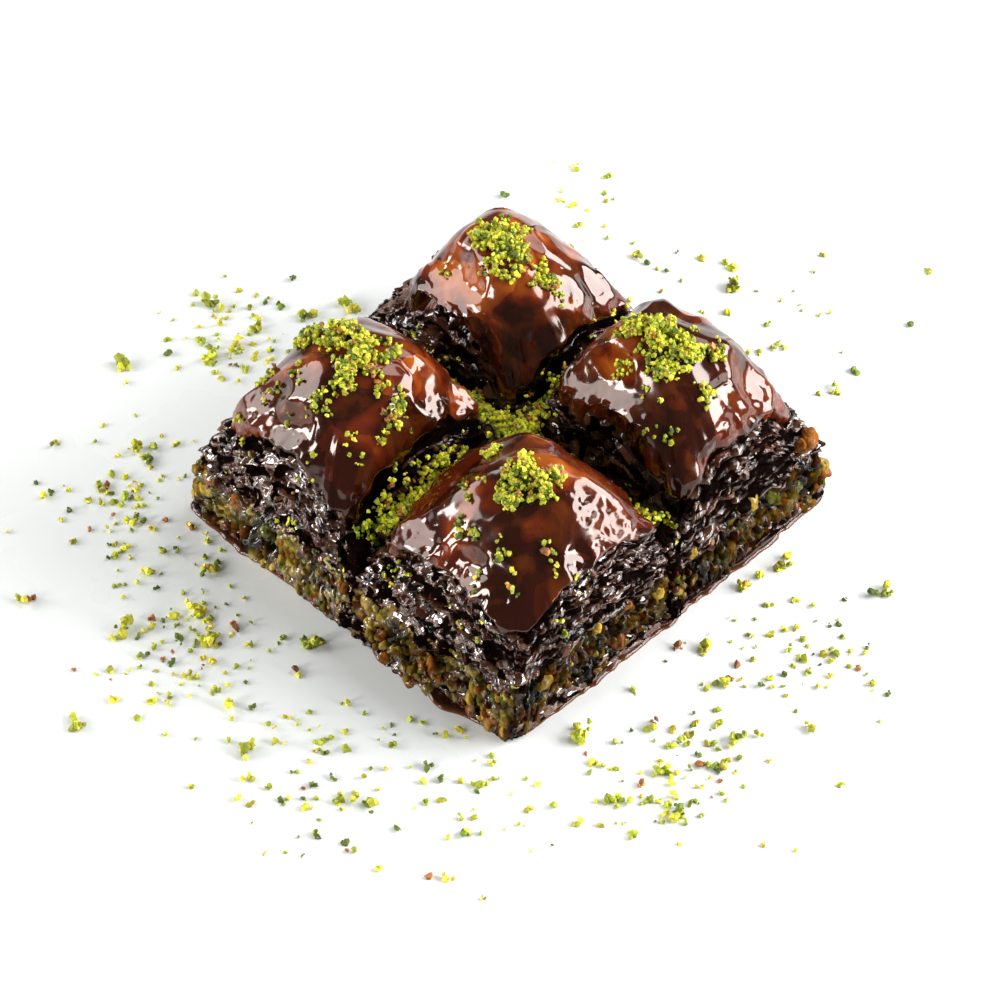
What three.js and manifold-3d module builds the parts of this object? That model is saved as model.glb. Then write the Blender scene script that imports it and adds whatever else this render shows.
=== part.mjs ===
// A plate of pistachio baklava: four glazed pieces standing together on a plain white plate.
//
// Lengths are millimetres and +Z is up. The origin is the middle of the plate's foot. The four
// pieces come from one tray: two straight cuts, one along X and one along Y, cross over the origin.
// All of the food is modelled from the plate's upper face, and the group stands on that face.

import * as THREE from 'three';
import { mergeVertices } from 'three/addons/utils/BufferGeometryUtils.js';
import Module from 'manifold-3d';

// Plate
const PLATE_RADIUS = 160;
const PLATE_TOP = 8;
const PLATE_THICKNESS = 5;
const FLAT_RADIUS = 124;
const RIM_RISE = 8;
const RIM_THICKNESS = 3;
const FOOT_RADIUS = 92;
const FOOT_WIDTH = 6;
const PLATE_SIDES = 44;

// Heights of the layers above the plate
const SYRUP_TOP = 0.8;
const BASE_TOP = 3.6;
const FILLING_TOP = 11.4;

// The knife's cut between two pieces, and the clearance between uneven surfaces
const CUT_WIDTH = 1.0;
const CLEARANCE = 0.3;

// Syrup that has run out round the block, farthest where the filling has spilled
const SYRUP_FRINGE = 0.8;
const SYRUP_LOBES = 0.3;
const SYRUP_STEPS = 44;

// How far the open sides have drawn back at the top of the base and at the top of the filling
const BASE_SETBACK = 0.4;
const FILLING_SETBACK = 1.3;

// Crust: how far it overhangs the sheets under it, and how it rises to its peak
const CRUST_LIP = 0.8;
const CRUST_THICKNESS = 1.0;
const CRUST_SPREAD = 1.08;
const DENT_DEPTH = 0.5;
const DOME_RINGS = [0.94, 0.82, 0.66, 0.48, 0.3, 0.14];
const EDGE_SQUARENESS = 8;
const PEAK_SQUARENESS = 2;

// How far the crust's edge arches up between its corners, on the sides towards -Y, +X, +Y and -X
const CRUST_ARCHES = [4, 4, 1, 1];

// Sheets of pastry, which show in the sides as bundles with ledges
const SHEET_BUNDLES = 4;
const LEDGE_DEPTH = 1.3;
const OPEN_WALL_CURVE = 1.6;
const CUT_WALL_CURVE = 1.0;
const STEPS_AROUND = 28;
const BASE_CRINKLE = 0.35;

// Nuts: chopped in the filling, ground on the domes and in the cuts
const NUT_RADII = [1.2, 1.9];
const NUTS_ON_A_SIDE = 7;
const SPILL_RADIUS = 2.1;
const FILLING_SWELL = 0.5;
const CLUMP_RADII = [1.1, 1.9];
const STRAY_RADIUS = 1.3;
const HEAP_THICKNESS = 2.0;
const HEAP_STEPS = 12;
const CUT_FILL_LOW = 13.5;
const CUT_FILL_TOP = 17.4;
const CUT_FILL_REACH = 31;
const CUT_FILL_WIDTH = 8;
const CUT_STATIONS = 7;
const CUT_CLUMPS = 10;

const COLOURS = {
  porcelain: '#f4f5f4',
  syrup: '#3a1708',
  pastry: '#1f0d08',
  filling: '#6d6418',
  crust: '#6b210a',
  pistachio: '#9fae25',
};

// The pieces, named by where they stand. Corners go counter-clockwise from the lowest X and Y:
// those of the foot, those of the crust's edge with their height, and then the peak of the dome,
// which is full and round where its curve is 2 or more, and more of a pyramid below that.
// A heap lies on each dome, and a few clumps have rolled away from it. Large bits of filling have
// spilled out at the foot of the front piece.
const HALF_CUT = CUT_WIDTH / 2;
const PIECES = [
  {
    name: 'left',
    seed: 11,
    foot: [[-38.0, -39.2], [-HALF_CUT, -39.8], [-HALF_CUT, -HALF_CUT], [-38.6, -HALF_CUT]],
    crust: [[-31.8, -34.0, 22.4], [-4.2, -36.4, 19.8], [-4.0, -5.6, 22.6], [-32.8, -5.0, 22.6]],
    peak: [-15.0, -17.3, 39.4],
    curve: 1.7,
    heap: { middle: [-21.5, -18.0], reach: [9.5, 5.6], turn: 0.65, clumps: 9 },
    strays: [[-31.2, -27.0], [-25.6, -30.0], [-12.5, -27.0], [-9.5, -22.0]],
  },
  {
    name: 'front',
    seed: 23,
    foot: [[HALF_CUT, -40.6], [36.6, -38.0], [38.0, -HALF_CUT], [HALF_CUT, -HALF_CUT]],
    crust: [[4.4, -33.8, 22.4], [34.7, -35.6, 21.0], [35.4, -5.8, 22.8], [4.6, -4.8, 22.6]],
    peak: [22.8, -17.0, 39.6],
    curve: 2.0,
    heap: { middle: [20.6, -19.6], reach: [7.2, 5.6], turn: 0.2, clumps: 7 },
    strays: [[12.5, -14.0], [24.0, -27.5]],
    spill: [[8.5, -40.8, 7.2], [13.0, -41.2, 6.4], [18.0, -41.6, 6.6], [21.0, -40.6, 7.8]],
  },
  {
    name: 'right',
    seed: 37,
    foot: [[HALF_CUT, HALF_CUT], [37.2, HALF_CUT], [38.6, 37.8], [HALF_CUT, 37.8]],
    crust: [[3.6, 7.0, 22.4], [32.6, 6.6, 22.0], [32.2, 34.0, 22.6], [4.6, 34.2, 22.8]],
    peak: [14.6, 17.6, 40.2],
    curve: 1.9,
    heap: { middle: [18.2, 19.8], reach: [8.6, 5.4], turn: -0.4, clumps: 7 },
    strays: [[28.0, 22.0], [8.5, 17.0]],
  },
  {
    name: 'back',
    seed: 53,
    foot: [[-39.4, HALF_CUT], [-HALF_CUT, HALF_CUT], [-HALF_CUT, 37.8], [-38.4, 37.6]],
    crust: [[-32.6, 7.4, 22.4], [-3.4, 4.4, 21.0], [-3.4, 32.6, 22.6], [-32.4, 33.8, 22.8]],
    peak: [-21.4, 16.4, 39.8],
    curve: 1.65,
    heap: { middle: [-17.6, 16.6], reach: [7.8, 5.4], turn: 0.5, clumps: 7 },
    strays: [[-9.5, 20.5], [-27.0, 13.0]],
  },
];

// Crumbs of nut that fell on the plate, in loose groups round the block
const CRUMB_RADII = [0.9, 1.7];
const CRUMB_SINK = 0.25;
const CRUMB_BLOCK_CLEARANCE = 4.5;
const CRUMB_GROUPS = [
  { middle: [-20, -56], spread: 11, count: 6 },
  { middle: [-50, -42], spread: 10, count: 2 },
  { middle: [10, -69], spread: 8, count: 2 },
  { middle: [32, -60], spread: 9, count: 3 },
  { middle: [56, -35], spread: 9, count: 3 },
  { middle: [57, -7], spread: 8, count: 3 },
  { middle: [54, 24], spread: 9, count: 2 },
  { middle: [28, 55], spread: 9, count: 2 },
  { middle: [-13, 63], spread: 9, count: 3 },
  { middle: [-54, 9], spread: 7, count: 2 },
  { middle: [-66, -13], spread: 8, count: 2 },
];

const wasm = await Module();
wasm.setup();

/** Numbers from 0 to 1 that are the same on each run for the same seed. */
function randomSource(seed) {
  let state = seed * 7919;
  return () => {
    state = (state + 0x6d2b79f5) | 0;
    let mixed = Math.imul(state ^ (state >>> 15), 1 | state);
    mixed = (mixed + Math.imul(mixed ^ (mixed >>> 7), 61 | mixed)) ^ mixed;
    return ((mixed ^ (mixed >>> 14)) >>> 0) / 2 ** 32;
  };
}

const mix = (low, high, share) => low + (high - low) * share;

/** A closed solid from a geometry, with shared corners merged and collapsed faces left out. */
function solidOf(geometry) {
  const bare = geometry.clone();
  bare.deleteAttribute('normal');
  bare.deleteAttribute('uv');
  const merged = mergeVertices(bare, 1e-3);
  const corners = merged.index.array;
  const kept = [];
  for (let face = 0; face < corners.length; face += 3) {
    const [a, b, c] = corners.slice(face, face + 3);
    if (a !== b && b !== c && c !== a) kept.push(a, b, c);
  }
  const vertProperties = new Float32Array(merged.attributes.position.array);
  const triVerts = new Uint32Array(kept);
  return new wasm.Manifold(new wasm.Mesh({ numProp: 3, vertProperties, triVerts }));
}

/** The largest connected body of a solid, as a geometry. */
function geometryOf(solid) {
  const bodies = solid.decompose();
  bodies.sort((one, other) => other.volume() - one.volume());
  const mesh = bodies[0].getMesh();
  const geometry = new THREE.BufferGeometry();
  geometry.setAttribute('position', new THREE.BufferAttribute(mesh.vertProperties, 3));
  geometry.setIndex(new THREE.BufferAttribute(mesh.triVerts, 1));
  geometry.computeVertexNormals();
  return geometry;
}

/** A closed solid through rings of points, lowest first, each counter-clockwise from above. */
function loft(rings, below, above) {
  const points = [below, ...rings.flat(), above];
  const around = rings[0].length;
  const corner = (ring, step) => 1 + ring * around + (step % around);
  const last = points.length - 1;
  const faces = [];
  for (let step = 0; step < around; step += 1) {
    faces.push(0, corner(0, step + 1), corner(0, step));
    faces.push(last, corner(rings.length - 1, step), corner(rings.length - 1, step + 1));
    for (let ring = 0; ring + 1 < rings.length; ring += 1) {
      faces.push(corner(ring, step), corner(ring, step + 1), corner(ring + 1, step + 1));
      faces.push(corner(ring, step), corner(ring + 1, step + 1), corner(ring + 1, step));
    }
  }
  const geometry = new THREE.BufferGeometry();
  geometry.setAttribute('position', new THREE.Float32BufferAttribute(points.flat(), 3));
  geometry.setIndex(faces);
  return solidOf(geometry);
}

/** A named mesh in its own plain finish. */
function sculpted(name, solid, colour, roughness) {
  const material = new THREE.MeshStandardMaterial({ color: colour, roughness, metalness: 0 });
  const mesh = new THREE.Mesh(geometryOf(solid), material);
  mesh.name = name;
  return mesh;
}

/** A rough lump with twenty faces, longer one way than the other. */
function lump(radius, place, random) {
  const geometry = new THREE.IcosahedronGeometry(radius, 0);
  geometry.scale(mix(1.0, 1.35, random()), 1, mix(0.7, 1, random()));
  geometry.rotateX(mix(-0.5, 0.5, random()));
  geometry.rotateY(mix(-0.5, 0.5, random()));
  geometry.rotateZ(random() * Math.PI * 2);
  geometry.translate(...place);
  return solidOf(geometry);
}

/** A place on the rim of the square from -1 to 1, counter-clockwise from its lowest corner. */
function onRim(step, around) {
  const quarter = (4 * step) / around;
  const side = Math.floor(quarter) % 4;
  const along = (quarter % 1) * 2 - 1;
  return [[along, -1], [1, along], [-along, 1], [-1, -along]][side];
}

/** That place drawn in, so that the square's corners are rounded. */
function roundedOff([u, v], squareness) {
  const reach = (Math.abs(u) ** squareness + Math.abs(v) ** squareness) ** (1 / squareness);
  return [u / reach, v / reach];
}

/** The value at a place of the square, from the values at its four corners. */
function between(corners, [u, v]) {
  const weights = [(1 - u) * (1 - v), (1 + u) * (1 - v), (1 + u) * (1 + v), (1 - u) * (1 + v)];
  const weighted = (axis) => corners.reduce((sum, corner, at) => sum + (corner[axis] * weights[at]) / 4, 0);
  return corners[0].map((_, axis) => weighted(axis));
}

/** Moves a point level outwards from an upright axis. */
function outwards([x, y, z], axis, amount) {
  const length = Math.hypot(x - axis[0], y - axis[1]);
  const share = amount / length;
  return [x + (x - axis[0]) * share, y + (y - axis[1]) * share, z];
}

/** One value for each step around a piece. */
const aroundRing = (steps, make) => Array.from({ length: steps }, (_, step) => make(step));

/** The middle of a piece's foot. */
const middleOf = (piece) => between(piece.foot, [0, 0]);

/** The corners of a piece's foot with its open sides drawn back, and its cut sides kept. */
function footDrawnBack(piece, amount) {
  const drawn = (value) => (Math.abs(value) > HALF_CUT ? value - Math.sign(value) * amount : value);
  return piece.foot.map((corner) => corner.map(drawn));
}

/** Whether a place is on one of the knife's cuts. */
const onCut = ([x, y]) => Math.min(Math.abs(x), Math.abs(y)) < 4 * HALF_CUT;

/** A level ring of a piece's side, true along the cuts and swelling elsewhere. */
function sideRing(piece, height, around, setBack, swelling) {
  const middle = middleOf(piece);
  const corners = footDrawnBack(piece, setBack);
  return aroundRing(around, (step) => {
    const [x, y] = between(corners, roundedOff(onRim(step, around), EDGE_SQUARENESS * 2));
    return outwards([x, y, height], middle, onCut([x, y]) ? 0 : swelling(step));
  });
}

/** The lowest pastry: a flat stack of thin sheets soaked with syrup. */
function basePastry(piece) {
  const random = randomSource(piece.seed);
  const around = STEPS_AROUND / 2 + 2;
  const rings = [0, 0.4, 0.7, 1].map((share) => {
    const crinkle = share > 0 && share < 1 ? BASE_CRINKLE : 0;
    const height = mix(SYRUP_TOP, BASE_TOP, share);
    return sideRing(piece, height, around, BASE_SETBACK * share, () => crinkle * (random() * 2 - 0.6));
  });
  const middle = middleOf(piece);
  return loft(rings, [...middle, SYRUP_TOP], [...middle, BASE_TOP]);
}

/** The sides of a piece that no cut runs along, by the numbers of their corners. */
function openSides(piece) {
  const sides = [[0, 1], [1, 2], [2, 3], [3, 0]];
  const away = (corner, axis) => Math.abs(piece.foot[corner][axis]) > HALF_CUT;
  return sides.filter(([from, to]) => [0, 1].every((axis) => away(from, axis) || away(to, axis)));
}

/** How far the filling has drawn back at a share of its height. */
const fillingSetBack = (share) => mix(BASE_SETBACK, FILLING_SETBACK, share ** 1.3);

/** The filling: a layer of chopped nuts, with whole bits standing out of the open sides. */
function filling(piece) {
  const random = randomSource(piece.seed + 1);
  const middle = middleOf(piece);
  const rings = [0, 0.3, 0.7, 1].map((share) => {
    const swell = share > 0 && share < 1 ? FILLING_SWELL : 0;
    const height = mix(BASE_TOP, FILLING_TOP, share);
    return sideRing(piece, height, STEPS_AROUND, fillingSetBack(share), () => swell * random() * 2);
  });
  let solid = loft(rings, [...middle, BASE_TOP], [...middle, FILLING_TOP]);
  for (const [from, to] of openSides(piece)) {
    for (let nut = 0; nut < NUTS_ON_A_SIDE; nut += 1) {
      const radius = mix(...NUT_RADII, random());
      const along = mix(0.09, 0.93, (nut + random() * 0.6) / NUTS_ON_A_SIDE);
      const room = radius * 1.25;
      const height = mix(BASE_TOP + room, FILLING_TOP - room, random());
      const share = (height - BASE_TOP) / (FILLING_TOP - BASE_TOP);
      const corners = footDrawnBack(piece, fillingSetBack(share));
      const [x, y] = corners[from].map((value, axis) => mix(value, corners[to][axis], along));
      solid = solid.add(lump(radius, [x, y, height], random));
    }
  }
  for (const place of piece.spill ?? []) solid = solid.add(lump(SPILL_RADIUS, place, random));
  return solid;
}

/** Soft dents and swellings of a crust, different on each piece. */
function dent(piece, x, y) {
  const long = Math.sin(0.33 * x + piece.seed) * Math.cos(0.29 * y + 2 * piece.seed);
  const short = Math.sin(0.52 * y - 0.41 * x + 3 * piece.seed);
  return DENT_DEPTH * (long + 0.6 * short);
}

/** How far the crust's edge arches up at one step of a ring. */
function archAt(step) {
  const [u, v] = onRim(step, STEPS_AROUND);
  const side = Math.floor((4 * step) / STEPS_AROUND) % 4;
  return CRUST_ARCHES[side] * (1 - Math.min(Math.abs(u), Math.abs(v)) ** 2);
}

/** A ring of the dome, from size 1 at the crust's edge to 0 at its peak. */
function domeRing(piece, size, grown) {
  const squareness = mix(PEAK_SQUARENESS, EDGE_SQUARENESS, size ** 2);
  return aroundRing(STEPS_AROUND, (step) => {
    const [u, v] = roundedOff(onRim(step, STEPS_AROUND), squareness);
    const edge = between(piece.crust, [u * CRUST_SPREAD, v * CRUST_SPREAD]);
    const x = mix(piece.peak[0], edge[0], size);
    const y = mix(piece.peak[1], edge[1], size);
    const rise = 1 - size ** piece.curve;
    const height = mix(edge[2] + archAt(step), piece.peak[2], rise);
    return outwards([x, y, height + dent(piece, x, y) * Math.sqrt(rise) + grown], piece.peak, grown);
  });
}

/** The upper pastry: bundles of sheets with ledges, and the domed crust in one with them. */
function upperPastry(piece, grown = 0) {
  const random = randomSource(piece.seed + 2);
  const middle = middleOf(piece);
  const foot = sideRing(piece, FILLING_TOP - grown, STEPS_AROUND, FILLING_SETBACK, () => 0);
  const edge = domeRing(piece, 1, grown);
  const rings = [foot.map((point) => outwards(point, middle, grown))];
  for (let bundle = 0; bundle < SHEET_BUNDLES; bundle += 1) {
    for (const [share, standsProud] of [[0.35, 1], [0.95, 0]]) {
      const climb = (bundle + share) / SHEET_BUNDLES;
      rings.push(foot.map((low, step) => {
        const high = outwards(edge[step], piece.peak, -CRUST_LIP - grown);
        const height = mix(FILLING_TOP, high[2] - CRUST_THICKNESS - grown, climb);
        const crag = LEDGE_DEPTH * (random() - 0.35) * standsProud * Math.min(1, 3 * climb);
        const drawnIn = climb ** (onCut(low) ? CUT_WALL_CURVE : OPEN_WALL_CURVE);
        const wall = [mix(low[0], high[0], drawnIn), mix(low[1], high[1], drawnIn), height];
        return outwards(wall, middle, crag + grown);
      }));
    }
  }
  rings.push(edge);
  for (const size of DOME_RINGS) rings.push(domeRing(piece, size, grown));
  const peakHeight = piece.peak[2] + dent(piece, piece.peak[0], piece.peak[1]) + grown;
  return loft(rings, [...middle, FILLING_TOP - grown], [piece.peak[0], piece.peak[1], peakHeight]);
}

/** Finds how high a piece's crust is at a place. */
function crustFinder(piece) {
  const crust = new THREE.Mesh(geometryOf(upperPastry(piece)));
  const downwards = new THREE.Vector3(0, 0, -1);
  return (x, y) => {
    const probe = new THREE.Raycaster(new THREE.Vector3(x, y, 2 * piece.peak[2]), downwards);
    return probe.intersectObject(crust)[0].point.z;
  };
}

/** The crust with the clumps of ground nut that stick to it away from its heap. */
function crustWithStrays(piece) {
  const random = randomSource(piece.seed + 3);
  const heightAt = crustFinder(piece);
  const strays = piece.strays.map(([x, y]) =>
    lump(STRAY_RADIUS, [x, y, heightAt(x, y) + 0.3 * STRAY_RADIUS], random));
  return strays.reduce((solid, stray) => solid.add(stray), upperPastry(piece));
}

/** The heap of ground pistachio on a dome: a lobed core with clumps, resting on the crust. */
function heap(piece) {
  const { middle, reach, turn, clumps } = piece.heap;
  const random = randomSource(piece.seed + 4);
  const heightAt = crustFinder(piece);
  const spot = (angle, size) => {
    const lobes = 1 + 0.16 * Math.sin(3 * angle + piece.seed) + 0.1 * Math.sin(5 * angle);
    const across = [Math.cos(angle) * reach[0] * size * lobes, Math.sin(angle) * reach[1] * size * lobes];
    const x = middle[0] + across[0] * Math.cos(turn) - across[1] * Math.sin(turn);
    const y = middle[1] + across[0] * Math.sin(turn) + across[1] * Math.cos(turn);
    return [x, y, heightAt(x, y)];
  };
  const level = (size, lift) => aroundRing(HEAP_STEPS, (step) => {
    const [x, y, z] = spot((step / HEAP_STEPS) * Math.PI * 2, size);
    return [x, y, z + lift];
  });
  const rings = [[0.9, -1], [0.95, 0.7], [0.6, 0.9 * HEAP_THICKNESS]];
  const [x, y, z] = spot(0, 0);
  let solid = loft(rings.map(([size, lift]) => level(size, lift)), [x, y, z - 1], [x, y, z + HEAP_THICKNESS]);
  for (let clump = 0; clump < clumps; clump += 1) {
    const size = Math.sqrt((clump + 0.5) / clumps);
    const radius = mix(CLUMP_RADII[1], CLUMP_RADII[0], size * random());
    const place = spot(clump * 2.4, 0.95 * size);
    place[2] += HEAP_THICKNESS * (1 - 0.75 * size);
    solid = solid.add(lump(radius, place, random));
  }
  return solid.subtract(upperPastry(piece, CLEARANCE));
}

/** One arm of the ground pistachio that lies in the cuts, along X or along Y. */
function cutArm(axis, random) {
  const at = (along, across, height) => (axis === 0 ? [along, across, height] : [-across, along, height]);
  const half = CUT_FILL_WIDTH / 2;
  const stations = Array.from({ length: CUT_STATIONS }, (_, index) => {
    const along = mix(-CUT_FILL_REACH, CUT_FILL_REACH, index / (CUT_STATIONS - 1));
    const atEnd = index === 0 || index === CUT_STATIONS - 1;
    const top = atEnd ? CUT_FILL_LOW + 1.5 : CUT_FILL_TOP + 2 * (random() - 0.5);
    return [at(along, -half, CUT_FILL_LOW), at(along, half, CUT_FILL_LOW), at(along, half, top), at(along, -half, top)];
  });
  const ends = [stations[0], stations[CUT_STATIONS - 1]].map((corners) =>
    [0, 1, 2].map((way) => corners.reduce((sum, corner) => sum + corner[way] / 4, 0)));
  return loft(stations, ends[0], ends[1]);
}

/** The ground pistachio in the cross of the two cuts, wedged between the four pieces. */
function cutFill() {
  const random = randomSource(97);
  let solid = cutArm(0, random).add(cutArm(1, random));
  for (let clump = 0; clump < CUT_CLUMPS; clump += 1) {
    const along = mix(-CUT_FILL_REACH, CUT_FILL_REACH, (clump + random()) / CUT_CLUMPS) * 0.95;
    const across = 2.4 * (random() - 0.5);
    const height = CUT_FILL_TOP + 0.6 * random();
    const place = clump % 2 ? [along, across, height] : [across, along, height];
    solid = solid.add(lump(mix(...CLUMP_RADII, random()), place, random));
  }
  return PIECES.reduce((rest, piece) => rest.subtract(upperPastry(piece, CLEARANCE)), solid);
}

/** The thin pool of syrup that the block stands in. */
function syrupPool() {
  const corners = PIECES.map((piece, index) => piece.foot[index]);
  const spilled = PIECES.flatMap((piece) => piece.spill ?? []);
  const outline = (inset) => aroundRing(SYRUP_STEPS, (step) => {
    const [x, y] = between(corners, roundedOff(onRim(step, SYRUP_STEPS), EDGE_SQUARENESS * 2));
    const lobes = Math.sin(step * 0.9) * Math.cos(step * 0.37) + 0.6 * Math.sin(step * 1.7);
    const nearest = Math.min(...spilled.map((place) => Math.hypot(place[0] - x, place[1] - y)));
    const fringe = SYRUP_FRINGE + SYRUP_LOBES * lobes + SPILL_RADIUS * Math.exp(-((nearest / 4) ** 2));
    return outwards([x, y, 0], [0, 0], fringe - inset);
  });
  const lifted = (ring, height) => ring.map(([x, y]) => [x, y, height]);
  const rings = [lifted(outline(0), 0), lifted(outline(0.5), SYRUP_TOP)];
  return loft(rings, [0, 0, 0], [0, 0, SYRUP_TOP]);
}

/** The plate: flat in the middle, rising softly to its rim, on a foot ring. */
function plate() {
  const under = PLATE_TOP - PLATE_THICKNESS;
  const rimTop = PLATE_TOP + RIM_RISE;
  const outer = [];
  const inner = [];
  const rimSteps = 3;
  for (let step = 0; step <= rimSteps; step += 1) {
    const share = step / rimSteps;
    const climb = share ** 2;
    outer.push([mix(FLAT_RADIUS, PLATE_RADIUS, share), mix(under, rimTop - RIM_THICKNESS, climb)]);
    inner.unshift([mix(FLAT_RADIUS, PLATE_RADIUS - 1, share), mix(PLATE_TOP, rimTop, climb)]);
  }
  const profile = [
    [0, under],
    [FOOT_RADIUS - FOOT_WIDTH - 1, under],
    [FOOT_RADIUS - FOOT_WIDTH, 0],
    [FOOT_RADIUS, 0],
    [FOOT_RADIUS + 2, under],
    ...outer,
    [PLATE_RADIUS, rimTop - 0.8],
    ...inner,
    [0, PLATE_TOP],
  ];
  const lathe = new THREE.LatheGeometry(profile.map(([r, z]) => new THREE.Vector2(r, z)), PLATE_SIDES);
  lathe.rotateX(Math.PI / 2);
  return solidOf(lathe);
}

/** The plate with the larger crumbs that lie on it. */
function plateWithCrumbs() {
  const random = randomSource(71);
  const nearest = CRUMB_BLOCK_CLEARANCE + Math.max(...PIECES.flatMap((piece) => piece.foot.flat()));
  let solid = plate();
  for (const { middle, spread, count } of CRUMB_GROUPS) {
    let fallen = 0;
    while (fallen < count) {
      const angle = random() * Math.PI * 2;
      const distance = spread * Math.sqrt(random());
      const x = middle[0] + distance * Math.cos(angle);
      const y = middle[1] + distance * Math.sin(angle);
      const radius = mix(...CRUMB_RADII, random() ** 2);
      if (Math.max(Math.abs(x), Math.abs(y)) < nearest + radius) continue;
      const place = [x, y, PLATE_TOP + radius * (1 - CRUMB_SINK) * 0.7];
      solid = solid.add(lump(radius, place, random));
      fallen += 1;
    }
  }
  return solid;
}

const food = new THREE.Group();
food.position.z = PLATE_TOP;
food.add(sculpted('syrup_pool', syrupPool(), COLOURS.syrup, 0.1));
food.add(sculpted('pistachio_in_cuts', cutFill(), COLOURS.pistachio, 0.8));
for (const piece of PIECES) {
  food.add(sculpted(`base_pastry_${piece.name}`, basePastry(piece), COLOURS.pastry, 0.3));
  food.add(sculpted(`pistachio_filling_${piece.name}`, filling(piece), COLOURS.filling, 0.4));
  food.add(sculpted(`upper_pastry_${piece.name}`, crustWithStrays(piece), COLOURS.crust, 0.15));
  food.add(sculpted(`pistachio_heap_${piece.name}`, heap(piece), COLOURS.pistachio, 0.8));
}

const plateOfBaklava = new THREE.Group();
plateOfBaklava.add(sculpted('plate', plateWithCrumbs(), COLOURS.porcelain, 0.15));
plateOfBaklava.add(food);

export default plateOfBaklava;
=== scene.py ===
import bmesh
import bpy
import numpy as np
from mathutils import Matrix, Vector
from mathutils.bvhtree import BVHTree


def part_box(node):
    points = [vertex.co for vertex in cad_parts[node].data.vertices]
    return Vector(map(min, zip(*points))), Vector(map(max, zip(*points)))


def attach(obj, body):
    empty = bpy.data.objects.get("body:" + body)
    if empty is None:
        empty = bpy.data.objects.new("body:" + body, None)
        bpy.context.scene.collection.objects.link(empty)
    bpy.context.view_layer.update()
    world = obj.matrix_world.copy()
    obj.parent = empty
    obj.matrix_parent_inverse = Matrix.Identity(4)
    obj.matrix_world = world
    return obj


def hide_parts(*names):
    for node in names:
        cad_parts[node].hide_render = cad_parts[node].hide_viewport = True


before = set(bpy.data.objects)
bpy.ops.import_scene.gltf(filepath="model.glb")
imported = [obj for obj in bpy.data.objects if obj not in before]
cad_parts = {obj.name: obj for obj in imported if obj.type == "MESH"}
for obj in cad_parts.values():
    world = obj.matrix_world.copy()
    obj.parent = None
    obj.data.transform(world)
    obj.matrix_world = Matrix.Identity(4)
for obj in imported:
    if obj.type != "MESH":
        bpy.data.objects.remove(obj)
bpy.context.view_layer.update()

# Plate
# A plain round plate of white porcelain with a low foot ring and a rim that sweeps up softly.
# It is pressed in one piece and glazed all over, apart from the ring that it stands on.
MM = 0.001
PLATE_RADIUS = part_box("plate")[1].x / MM
RIM_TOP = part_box("plate")[1].z / MM
PLATE_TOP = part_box("syrup_pool")[0].z / MM
PLATE_THICKNESS = 5
FLAT_RADIUS = 124
WELL_RADII = (118, 100, 80, 60, 40, 20)
RIM_THICKNESS = 3
RIM_STEPS = 16
LIP_STEPS = 9
FOOT_RADIUS = 92
FOOT_WIDTH = 6
FOOT_SLANT = 0.6
PLATE_SIDES = 192
GLAZE_WHITE = (0.90, 0.915, 0.91, 1)
GLAZE_SHADE = (0.87, 0.89, 0.885, 1)


def mix(low, high, share):
    return low + (high - low) * share


def set_sockets(tree, node, sockets):
    """Gives a node's sockets their numbers, their colours or the outputs of other nodes."""
    for name, value in sockets.items():
        if isinstance(value, bpy.types.NodeSocket):
            tree.links.new(value, node.inputs[name])
        else:
            node.inputs[name].default_value = value


def add_node(tree, kind, sockets=None, **settings):
    """Adds a shader node with its settings and sockets."""
    made = tree.nodes.new("ShaderNode" + kind)
    for name, value in settings.items():
        setattr(made, name, value)
    set_sockets(tree, made, sockets or {})
    return made


def with_effect(tree, group, **sockets):
    """The outputs of a node group that is placed in a material with its own values."""
    return add_node(tree, "Group", sockets, node_tree=group).outputs


def ranged(tree, value, low=0.0, high=1.0, start=0.0, end=1.0):
    """A value that runs from low to high, as one that runs from start to end and no further."""
    sockets = {"Value": value, "From Min": low, "From Max": high, "To Min": start, "To Max": end}
    return add_node(tree, "MapRange", sockets).outputs["Result"]


def blended(tree, share, low, high):
    """A colour between two others. The numbers are the colour sockets of Blender's mixing node."""
    return add_node(tree, "Mix", {0: share, 6: low, 7: high}, data_type="RGBA").outputs[2]


def place_of(tree):
    """Where a point lies on its piece, in metres."""
    return add_node(tree, "TexCoord").outputs["Object"]


def noise(tree, scale, detail=2.0, distortion=0.0, place=None):
    """Cloudy unevenness with that many waves to the metre, at a point's own place or another."""
    place = place_of(tree) if place is None else place
    sockets = {"Vector": place, "Scale": scale, "Detail": detail, "Distortion": distortion}
    return add_node(tree, "TexNoise", sockets).outputs["Fac"]


def relief(tree, height, depth):
    """A bump of that many millimetres from a height."""
    return add_node(tree, "Bump", {"Height": height, "Distance": depth * MM}).outputs["Normal"]


def new_finish(name):
    """An empty material with its surface shader."""
    material = bpy.data.materials.new(name)
    material.use_nodes = True
    return material, material.node_tree, material.node_tree.nodes["Principled BSDF"]


def effect_group(name, inputs, outputs):
    """A shader node group with named inputs and outputs, each given as its label and kind."""
    tree = bpy.data.node_groups.new(name, "ShaderNodeTree")
    for label, kind in inputs:
        tree.interface.new_socket(label, in_out="INPUT", socket_type="NodeSocket" + kind)
    for label, kind in outputs:
        tree.interface.new_socket(label, in_out="OUTPUT", socket_type="NodeSocket" + kind)
    given = tree.nodes.new("NodeGroupInput").outputs
    result = tree.nodes.new("NodeGroupOutput").inputs
    return tree, given, result


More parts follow.
